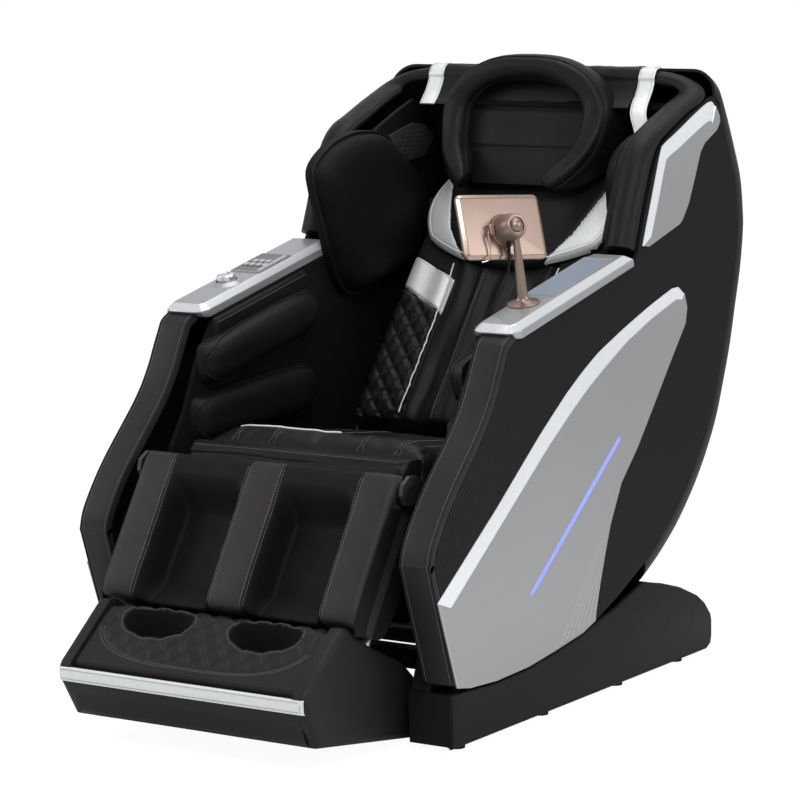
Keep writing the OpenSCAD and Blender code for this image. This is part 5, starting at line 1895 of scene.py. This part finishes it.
class MASSAGE_CHAIR_OT_armrests(bpy.types.Operator):
    """Painted armrests with faceted edges in lighter paint as painted highlight, the charging tray and the controls"""
    bl_idname = "massage_chair.armrests"
    bl_label = "Armrests"

    def body(self, spot, side):
        """Rings from the underside up: full plan, then chamfers to the top face."""
        length, w = 472, 50
        plan = [(-w + 22, 0), (w - 22, 0), (w - 8, 8), (w, 26), (w, length), (-w + 10, length),
                (-w, length - 40), (-w, 26), (-w + 8, 8)]
        if side < 0:
            plan = [(-x, y) for x, y in reversed(plan)]
        ring = [Vector(p) for p in plan]

        def grown(depth, front):
            return [Vector((p.x, max(p.y, front))) for p in inset_ring(ring, depth)]

        levels = [(0.4, 2.0, 20), (2.5, 0.4, 17), (9.0, 0.0, 9), (15.5, 0.3, 1), (17.0, 1.2, 1.5),
                  (26.2, 12.5, 17), (27.6, 15.0, 20), (28.0, 17.0, 22)]
        points = [on(spot, p.x, p.y, z) for z, depth, front in levels for p in grown(depth, front)]
        size = len(ring)
        # the chamfer facets take the lighter paint, a painted highlight
        marks = [1 if level in (4, 5) else 0 for level in range(len(levels) - 1) for _ in range(size)]
        return points, capped_faces(len(levels), size), marks + [0, 0]

    def execute(self, context):
        for name, spot, side in (("armrest_left", ON_LEFT_ARM, 1), ("armrest_right", ON_RIGHT_ARM, -1)):
            points, faces, marks = self.body(spot, side)
            arm = new_piece(name + "_cover", points, faces, ["arm_silver", "arm_bevel"], marks, sharp=12)
            soften = arm.modifiers.new("soften", "BEVEL")
            soften.width = 1.6 * MM
            soften.segments = 2
            soften.limit_method = "ANGLE"
            soften.angle_limit = radians(14)
            shown_mesh(arm)
            seat_in(arm, "capsule", "arm_silver", name)
        self.tray()
        self.controls()
        return {"FINISHED"}

    def slab(self, spot, x0, x1, y0, y1, z0, z1, chamfer):
        """A block with a chamfered top."""
        points = []
        for cut, z in ((0, z0), (0, z1 - chamfer), (chamfer, z1)):
            a, b, c, d = x0 + cut, x1 - cut, y0 + cut, y1 - cut
            points += [on(spot, x, y, z) for x, y in ((a, c), (b, c), (b, d), (a, d))]
        return points, capped_faces(3, 4)

    def tray(self):
        """Blue-grey charging tray with a raised rim."""
        stock = Stock()
        x0, x1, y0, y1 = -36, 26, 190, 430
        stock.add(*self.slab(ON_LEFT_ARM, x0 + 0.4, x1 - 0.4, y0 + 0.4, y1 - 0.4, 24.2, 28.4, 0.6))
        for plan in ((x0, x1, y0, y0 + 4), (x0, x1, y1 - 4, y1), (x0, x0 + 4, y0 + 4, y1 - 4),
                     (x1 - 4, x1, y0 + 4, y1 - 4)):
            stock.add(*self.slab(ON_LEFT_ARM, *plan, 27.6, 29.6, 0.8), mark=1)
        tray = stock.piece("charging_tray", ["tray_inlay", "arm_silver"], sharp=30)
        seat_in(tray, "capsule", "tray_inlay", "charge_tray")

    def controls(self):
        """Collar under the knob, a dark key field with a raised frame, and a grey bar beside it."""
        stock = Stock()
        rings = [(21.0, 28.2), (21.0, 33.0), (22.5, 34.2), (25.0, 33.2), (31.0, 29.0), (32.5, 28.1)]
        points = [on(ON_RIGHT_ARM, 3 + r * cos(a * pi / 24), 155 + r * sin(a * pi / 24) * 1.12, z)
                  for r, z in rings for a in range(48)]
        stock.add(points, grid_faces(len(rings), 48, around=True))
        for plan in ((-34, 36, 222, 225), (-34, 36, 337, 340), (-34, -31.4, 225, 337), (33.4, 36, 225, 337)):
            stock.add(*self.slab(ON_RIGHT_ARM, *plan, 28.0, 31.2, 1.0))
        stock.add(*self.slab(ON_RIGHT_ARM, 24, 32, 230, 332, 29.6, 32.0, 1.0), mark=1)
        trim = stock.piece("control_trim", ["arm_silver", "button_grey"], sharp=30)
        seat_in(trim, "capsule", "arm_silver")
        dressed("control_display", "display_glass")
        for number in range(1, 8):
            dressed("button_%d" % number, "button_grey")
        self.knob()

    def knob(self):
        """Fluted knob with its mark and its shaft."""
        stock = Stock()
        count = 96
        rings = [(18.6, 28.6), (18.9, 29.4), (18.9, 41.6), (18.4, 43.6), (16.6, 45.6), (15.4, 46.0),
                 (14.6, 45.2), (13.6, 44.9), (6.0, 44.9)]
        points = []
        for level, (r, z) in enumerate(rings):
            for k in range(count):
                flute = 0.225 * (1 + cos(k * pi / 2)) * (level in (1, 2))
                a = 2 * pi * k / count
                points.append(on(ON_RIGHT_ARM, 3 + (r - flute) * cos(a), 155 + (r - flute) * sin(a), z))
        stock.add(points, capped_faces(len(rings), count))
        stock.add(*self.slab(ON_RIGHT_ARM, 2.2, 3.8, 161, 169, 44.8, 45.5, 0.2), mark=1)
        shaft = [on(ON_RIGHT_ARM, 3, 155, z) for z in (0.5, 10, 20, 28.8)]
        stock.add(*tube(shaft, 4, sides=24), mark=2)
        knob = stock.piece("knob_cap", ["knob_metal", "display_glass", "bright_steel"], sharp=35)
        seat_in(knob, "knob", "arm_silver", "control_knob")


class MASSAGE_CHAIR_OT_casing(bpy.types.Operator):
    """Back shell, fenders with their lights, upper trims and side panels"""
    bl_idname = "massage_chair.casing"
    bl_label = "Casing"

    def execute(self, context):
        self.back_shell()
        self.fenders()
        self.lights()
        self.trims()
        dressed("side_panel_left", "ribbed_panel")
        dressed("side_panel_right", "ribbed_panel")
        return {"FINISHED"}

    def back_shell(self):
        """One smooth shell round the back, rolled into the sides."""
        spine = smooth_line(SPINE, 5)
        turns = [p.x for p in smooth_line([(r, 0) for r in TURN], 5)]
        points, columns = [], 0
        for inner in (0, 6):
            for i, spot in enumerate(spine):
                heading = heading_at(spine, i)
                normal = Vector((heading.y, -heading.x))
                r = turns[i]
                line = []
                for step in range(19):
                    a = pi / 2 * step / 18
                    out = spot + normal * ((r - inner) * sin(a) - r)
                    line.append((390 - r + (r - inner) * cos(a), out.x, out.y))
                line += [((390 - r) * share, line[-1][1], line[-1][2]) for share in (0.8, 0.6, 0.4, 0.2)]
                row = line + [(0.0, line[-1][1], line[-1][2])] + [(-x, y, z) for x, y, z in reversed(line)]
                columns = len(row)
                points += [at(*p) for p in row]
        rows = len(spine)
        faces = grid_faces(rows, columns) + grid_faces(rows, columns, start=rows * columns)
        far = rows * columns
        ends = [(i * columns + j, (i + 1) * columns + j) for i in range(rows - 1) for j in (0, columns - 1)]
        ends += [(i * columns + j, i * columns + j + 1) for j in range(columns - 1) for i in (0, rows - 1)]
        faces += [[a, b, far + b, far + a] for a, b in ends]
        shell = new_piece("back_cover", points, faces, ["shell_plastic"], sharp=40)
        seat_in(shell, "capsule", "shell_plastic", "back_shell")

    def bevelled(self, ring, bright, inner, depth):
        """A cover with a sloping bevel between the run of its outline called bright and the line inner; the bevel and
        the lip round the rest of the outline take lighter paints as painted highlight.
        """
        ring = [Vector(p) for p in ring]
        start, end = bright
        run = ring[start:end + 1]
        edge = ring[end:] + ring[:start + 1]
        steps, lip = 40, 2.2

        def spread(line):
            line = [Vector(p) for p in line]
            total = sum((b - a).length for a, b in zip(line, line[1:]))
            return even_line(line, total / steps * 0.99999)[:steps] + [line[-1]]

        outer, inside = spread(run), spread(inner)
        points = [at(390.0, p.x, p.y) for p in outer] + [at(391.0, p.x, p.y) for p in outer]
        points += [at(390 + depth, p.x, p.y) for p in inside]
        faces = grid_faces(3, steps + 1)
        # the edge wall and the sloping bevel take the lighter paint, a painted highlight
        marks = [1] * len(faces)
        base = len(points)
        # the field runs to the inner line and, over a small lip, to the rest of the outline
        soft = []
        for k, p in enumerate(edge):
            before = (p - (edge[k - 1] if k else inside[-1])).normalized()
            after = ((edge[k + 1] if k + 1 < len(edge) else inside[0]) - p).normalized()
            soft.append(p + Vector((before.y + after.y, -before.x - after.x)).normalized() * lip)
        points += [at(390 + depth, p.x, p.y) for p in soft]
        points += [at(390 + depth - 1.4, p.x, p.y) for p in edge]
        points += [at(390.0, p.x, p.y) for p in edge]
        first_inner = 2 * (steps + 1)
        count = len(edge)
        faces.append([first_inner + k for k in range(steps + 1)] + [base + k for k in range(count)])
        marks.append(0)
        for level in (0, 1):
            for k in range(count - 1):
                a = base + level * count + k
                faces.append([a, a + 1, a + count + 1, a + count])
                # the lip takes a lighter paint as painted highlight, and the side wall takes the plain paint
                marks.append(2 if level == 0 else 0)
        faces.append([steps, first_inner + steps, base, base + count, base + 2 * count])
        faces.append([0, first_inner, base + count - 1, base + 2 * count - 1, base + 3 * count - 1])
        marks += [2, 2]
        return points, faces, marks

    def fenders(self):
        """Silver fenders; their upper bevel, edge lip and fan of ribs are in lighter paints as painted highlight."""
        stock = Stock()
        points, faces, marks = self.bevelled(FENDER, (1, 11), FENDER_BEVEL, 4.0)
        stock.add(points, faces, marks=marks)
        # fan of fine ribs at the lower rear corner, in lighter paint as painted highlight
        tip = Vector((150, 345))
        for k in range(7):
            foot = Vector((mix(-44, 92, k / 6), mix(131, 154, k / 6)))
            side = (foot - tip).normalized()
            across = Vector((-side.y, side.x))
            high = tip + side * (14 + 4 * k)
            blade = []
            for p, wide, lift in ((high, 0.3, 0.2), (foot - side * 4, 3.4, 1.5)):
                for x, out in ((393.9, wide), (394.0 + lift, wide * 0.2), (393.9, -wide)):
                    blade.append(at(x, *(p + across * out)))
            stock.add(blade, [[0, 1, 4, 3], [1, 2, 5, 4], [0, 2, 1], [3, 4, 5], [0, 3, 5, 2]], mark=3)
        stock.mirrored()
        paints = ["silver_paint", "bright_bevel", "soft_bevel", "rib_paint"]
        covers = stock.piece("fender_covers", paints, sharp=20)
        seat_in(covers, "capsule", "silver_paint", "fenders")

    def lights(self):
        """Slanted light strips on the fenders."""
        a, b = (Vector(p) for p in LIGHT_ENDS)
        stock = Stock()
        line = [at(393.6, *a.lerp(b, k / 40)) for k in range(41)]
        radii = [5.2 * min(1, (min(k, 40 - k) + 0.6) / 1.6) for k in range(41)]
        points, faces = tube(line, radii, sides=12, flat=Vector((1, 0, 0)), oval=0.45)
        stock.add(points, faces).mirrored()
        strips = stock.piece("side_lights", ["led"], sharp=60)
        seat_in(strips, "capsule", "led", "led_strips")

    def trims(self):
        """Upper trims with a bevel on their front and upper edge, in lighter paint as painted highlight."""
        ring = [Vector(p) for p in TRIM]
        stock = Stock()
        outer = smooth_line(ring[:7], 4)
        inside = smooth_line(TRIM_BEVEL, 4)
        count = len(outer)
        points = [at(x, *p) for x, line in ((390, outer), (391.2, outer), (394, inside)) for p in line]
        faces = grid_faces(3, count)
        # the bevel takes the lighter paint, a painted highlight
        marks = [1] * len(faces)
        rest = ring[6:] + [ring[0]]
        base = len(points)
        points += [at(394, p.x, p.y) for p in rest] + [at(390, p.x, p.y) for p in rest]
        faces.append([2 * count + k for k in range(count)] + [base + k for k in range(len(rest))])
        marks.append(0)
        for k in range(len(rest) - 1):
            faces.append([base + k, base + k + 1, base + len(rest) + k + 1, base + len(rest) + k])
            marks.append(0)
        faces.append([count - 1, 3 * count - 1, base, base + len(rest)])
        faces.append([0, 2 * count, base + len(rest) - 1, base + 2 * len(rest) - 1])
        marks += [1, 1]
        stock.add(points, faces, marks=marks)
        stock.mirrored()
        covers = stock.piece("upper_trim_covers", ["silver_paint", "bright_bevel"], sharp=20)
        seat_in(covers, "capsule", "silver_paint", "upper_trims")


class MASSAGE_CHAIR_OT_tablet(bpy.types.Operator):
    """Tablet, its ball housing, wire clip and post"""
    bl_idname = "massage_chair.tablet"
    bl_label = "Tablet"

    def outline(self, inset, corner):
        """The case's outline with round corners, 15 degrees to a step."""
        x0, x1 = -95 + inset + corner, 95 - inset - corner
        y0, y1 = -54 + inset + corner, 71 - inset - corner
        spots = []
        for x, y, start in ((x1, y1, 0), (x0, y1, 90), (x0, y0, 180), (x1, y0, 270)):
            turn = [radians(start + a) for a in range(0, 91, 15)]
            spots += [(x + corner * cos(a), y + corner * sin(a)) for a in turn]
        return spots

    def lathe(self, spot, rings, count=64):
        """A turned form from its radii and heights."""
        turn = [2 * pi * k / count for k in range(count)]
        points = [on(spot, r * cos(a), r * sin(a), z) for r, z in rings for a in turn]
        return points, capped_faces(len(rings), count)

    def execute(self, context):
        stock = Stock()
        levels = [(3.0, -48.0), (0.8, -46.6), (0.0, -44.5), (0.0, -41.5), (1.4, -40.2), (2.4, -39.8),
                  (5.0, -37.6), (7.2, -36.2), (9.0, -36.0)]
        rings = [(self.outline(inset, max(3.0, 12 - inset)), z) for inset, z in levels]
        points = [on(ON_TABLET, x, y, z) for ring, z in rings for x, y in ring]
        size = len(rings[0][0])
        # the rounded edge rings take the lighter rose metal, a painted highlight
        marks = [1 if 4 <= level <= 6 else 0 for level in range(len(levels) - 1) for _ in range(size)]
        stock.add(points, capped_faces(len(levels), size), marks=marks + [2, 0])
        screen = [on(ON_TABLET, x, y, z) for inset, z in ((6, -48.0), (6.6, -48.5))
                  for x, y in self.outline(inset, 4)]
        stock.add(screen, grid_faces(2, size, around=True) + [list(range(size, 2 * size))], mark=2)
        housing = [(32.0, -36.0), (32.0, -33.4), (31.0, -31.4), (29.6, -30.9), (29.0, -29.0), (28.4, -22.0),
                   (25.5, -6.0), (22.6, 4.0), (21.0, 7.4), (19.0, 8.4), (16.4, 8.0), (15.6, 5.0)]
        stock.add(*self.lathe(ON_TABLET, housing))
        # wire clip from the housing to the lower edge
        clip = smooth_line([(-30, -2, -33), (-38, -2, -30), (-44, -12, -27), (-42, -32, -29), (-44, -50, -31),
                            (-49, -57, -35), (-58, -58, -41)], 6)
        stock.add(*tube([on(ON_TABLET, *p) for p in clip], 1.5, sides=10), mark=1)
        block = [on(ON_TABLET, x, y, z) for z in (-36, -24)
                 for x, y in ((-40, -10), (-30, -10), (-30, 10), (-40, 10))]
        stock.add(block, capped_faces(2, 4))
        case = stock.piece("tablet_cover", ["rose_metal", "rose_bright", "display_glass"], sharp=28)
        seat_in(case, "tablet", "rose_metal", "tablet_case")
        self.post()
        return {"FINISHED"}

    def post(self):
        """Flared post with the ball under the tablet."""
        rings = [(9.9, 0.5), (9.9, 28.2), (30.4, 28.4), (30.9, 29.0), (30.6, 30.4), (28.0, 31.4),
                 (19.0, 33.4), (13.2, 36.6), (11.2, 40.5), (9.9, 48), (9.3, 80), (8.2, 108), (7.0, 135),
                 (6.2, 152), (6.0, 163)]
        stock = Stock()
        stock.add(*self.lathe(POST_FOOT, rings, 48))
        ball = [(15 * cos(radians(a)), 180 + 15 * sin(radians(a))) for a in range(-86, 87, 8)]
        stock.add(*self.lathe(POST_FOOT, ball, 36))
        post = stock.piece("tablet_post_cover", ["rose_metal"], sharp=35)
        seat_in(post, "tablet_post", "rose_metal", "tablet_post")


class MASSAGE_CHAIR_OT_base(bpy.types.Operator):
    """Side covers of the base with the blocks inside their front, and the parts below"""
    bl_idname = "massage_chair.base"
    bl_label = "Base"

    def execute(self, context):
        stock = Stock()
        stock.add(*plate(BASE_SIDE, 382, 389.8, 5, steps=4))
        stock.add(*plate(BASE_NOSE, 296, 384, 4))
        stock.add(*plate(BASE_HUMP, 297, 336, 4))
        stock.mirrored()
        covers = stock.piece("base_side_covers", ["base_plastic"], sharp=35)
        seat_in(covers, "base", "base_plastic", "base_sides")
        for node, key in (("base_rear_cover", "base_plastic"), ("base_frame", "frame_steel"),
                          ("base_feet", "foot_rubber"), ("power_box", "base_plastic"),
                          ("mains_inlet", "black_plastic"), ("power_switch", "black_plastic"),
                          ("transport_wheels", "wheel_rubber")):
            dressed(node, key)
        return {"FINISHED"}


class MASSAGE_CHAIR_OT_mechanism(bpy.types.Operator):
    """Finishes of the frame, the massage carriage and the drives"""
    bl_idname = "massage_chair.mechanism"
    bl_label = "Mechanism"

    def execute(self, context):
        for node in ("seat_frame", "back_frame", "massage_carriage", "calf_frame", "tilt_motor", "air_pump"):
            dressed(node, "frame_steel")
        for node in ("back_rods", "track_rollers_front", "track_rollers_rear"):
            dressed(node, "bright_steel")
        dressed("massage_heads", "kneading_plastic")
        return {"FINISHED"}


OPERATORS = (
    MASSAGE_CHAIR_OT_studio, MASSAGE_CHAIR_OT_tablet_lead, MASSAGE_CHAIR_OT_seat_cushion,
    MASSAGE_CHAIR_OT_seat_apron, MASSAGE_CHAIR_OT_back_pad, MASSAGE_CHAIR_OT_neck_flap,
    MASSAGE_CHAIR_OT_head_pillow, MASSAGE_CHAIR_OT_head_straps, MASSAGE_CHAIR_OT_hood,
    MASSAGE_CHAIR_OT_shoulder_pads, MASSAGE_CHAIR_OT_arm_pads, MASSAGE_CHAIR_OT_front_bands,
    MASSAGE_CHAIR_OT_calf_pad, MASSAGE_CHAIR_OT_footrest, MASSAGE_CHAIR_OT_armrests,
    MASSAGE_CHAIR_OT_casing, MASSAGE_CHAIR_OT_tablet, MASSAGE_CHAIR_OT_base, MASSAGE_CHAIR_OT_mechanism,
)


class MASSAGE_CHAIR_PT_workshop(bpy.types.Panel):
    """Lists the pieces of the chair in the order they are made"""
    bl_label = "Massage Chair"
    bl_idname = "MASSAGE_CHAIR_PT_workshop"
    bl_space_type = "VIEW_3D"
    bl_region_type = "UI"
    bl_category = "Massage Chair"

    def draw(self, context):
        for operator in OPERATORS:
            self.layout.operator(operator.bl_idname)


CLASSES = (ChairSizes, ChairColours, *OPERATORS, MASSAGE_CHAIR_PT_workshop)


def register():
    for made in CLASSES:
        bpy.utils.register_class(made)
    bpy.types.Scene.chair_sizes = PointerProperty(type=ChairSizes)
    bpy.types.Scene.chair_colours = PointerProperty(type=ChairColours)


def unregister():
    del bpy.types.Scene.chair_colours
    del bpy.types.Scene.chair_sizes
    for made in reversed(CLASSES):
        bpy.utils.unregister_class(made)


def main():
    register()
    for operator in OPERATORS:
        group, name = operator.bl_idname.split(".")
        if getattr(getattr(bpy.ops, group), name)() != {"FINISHED"}:
            raise RuntimeError(operator.bl_label + " did not finish")
    with open("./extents.json", "w") as sheet:
        json.dump({"cad": [list(corner) for corner in CAD_BOUNDS], "visual": [list(corner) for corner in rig.bounds()]}, sheet)


if __name__ == "__main__":
    main()
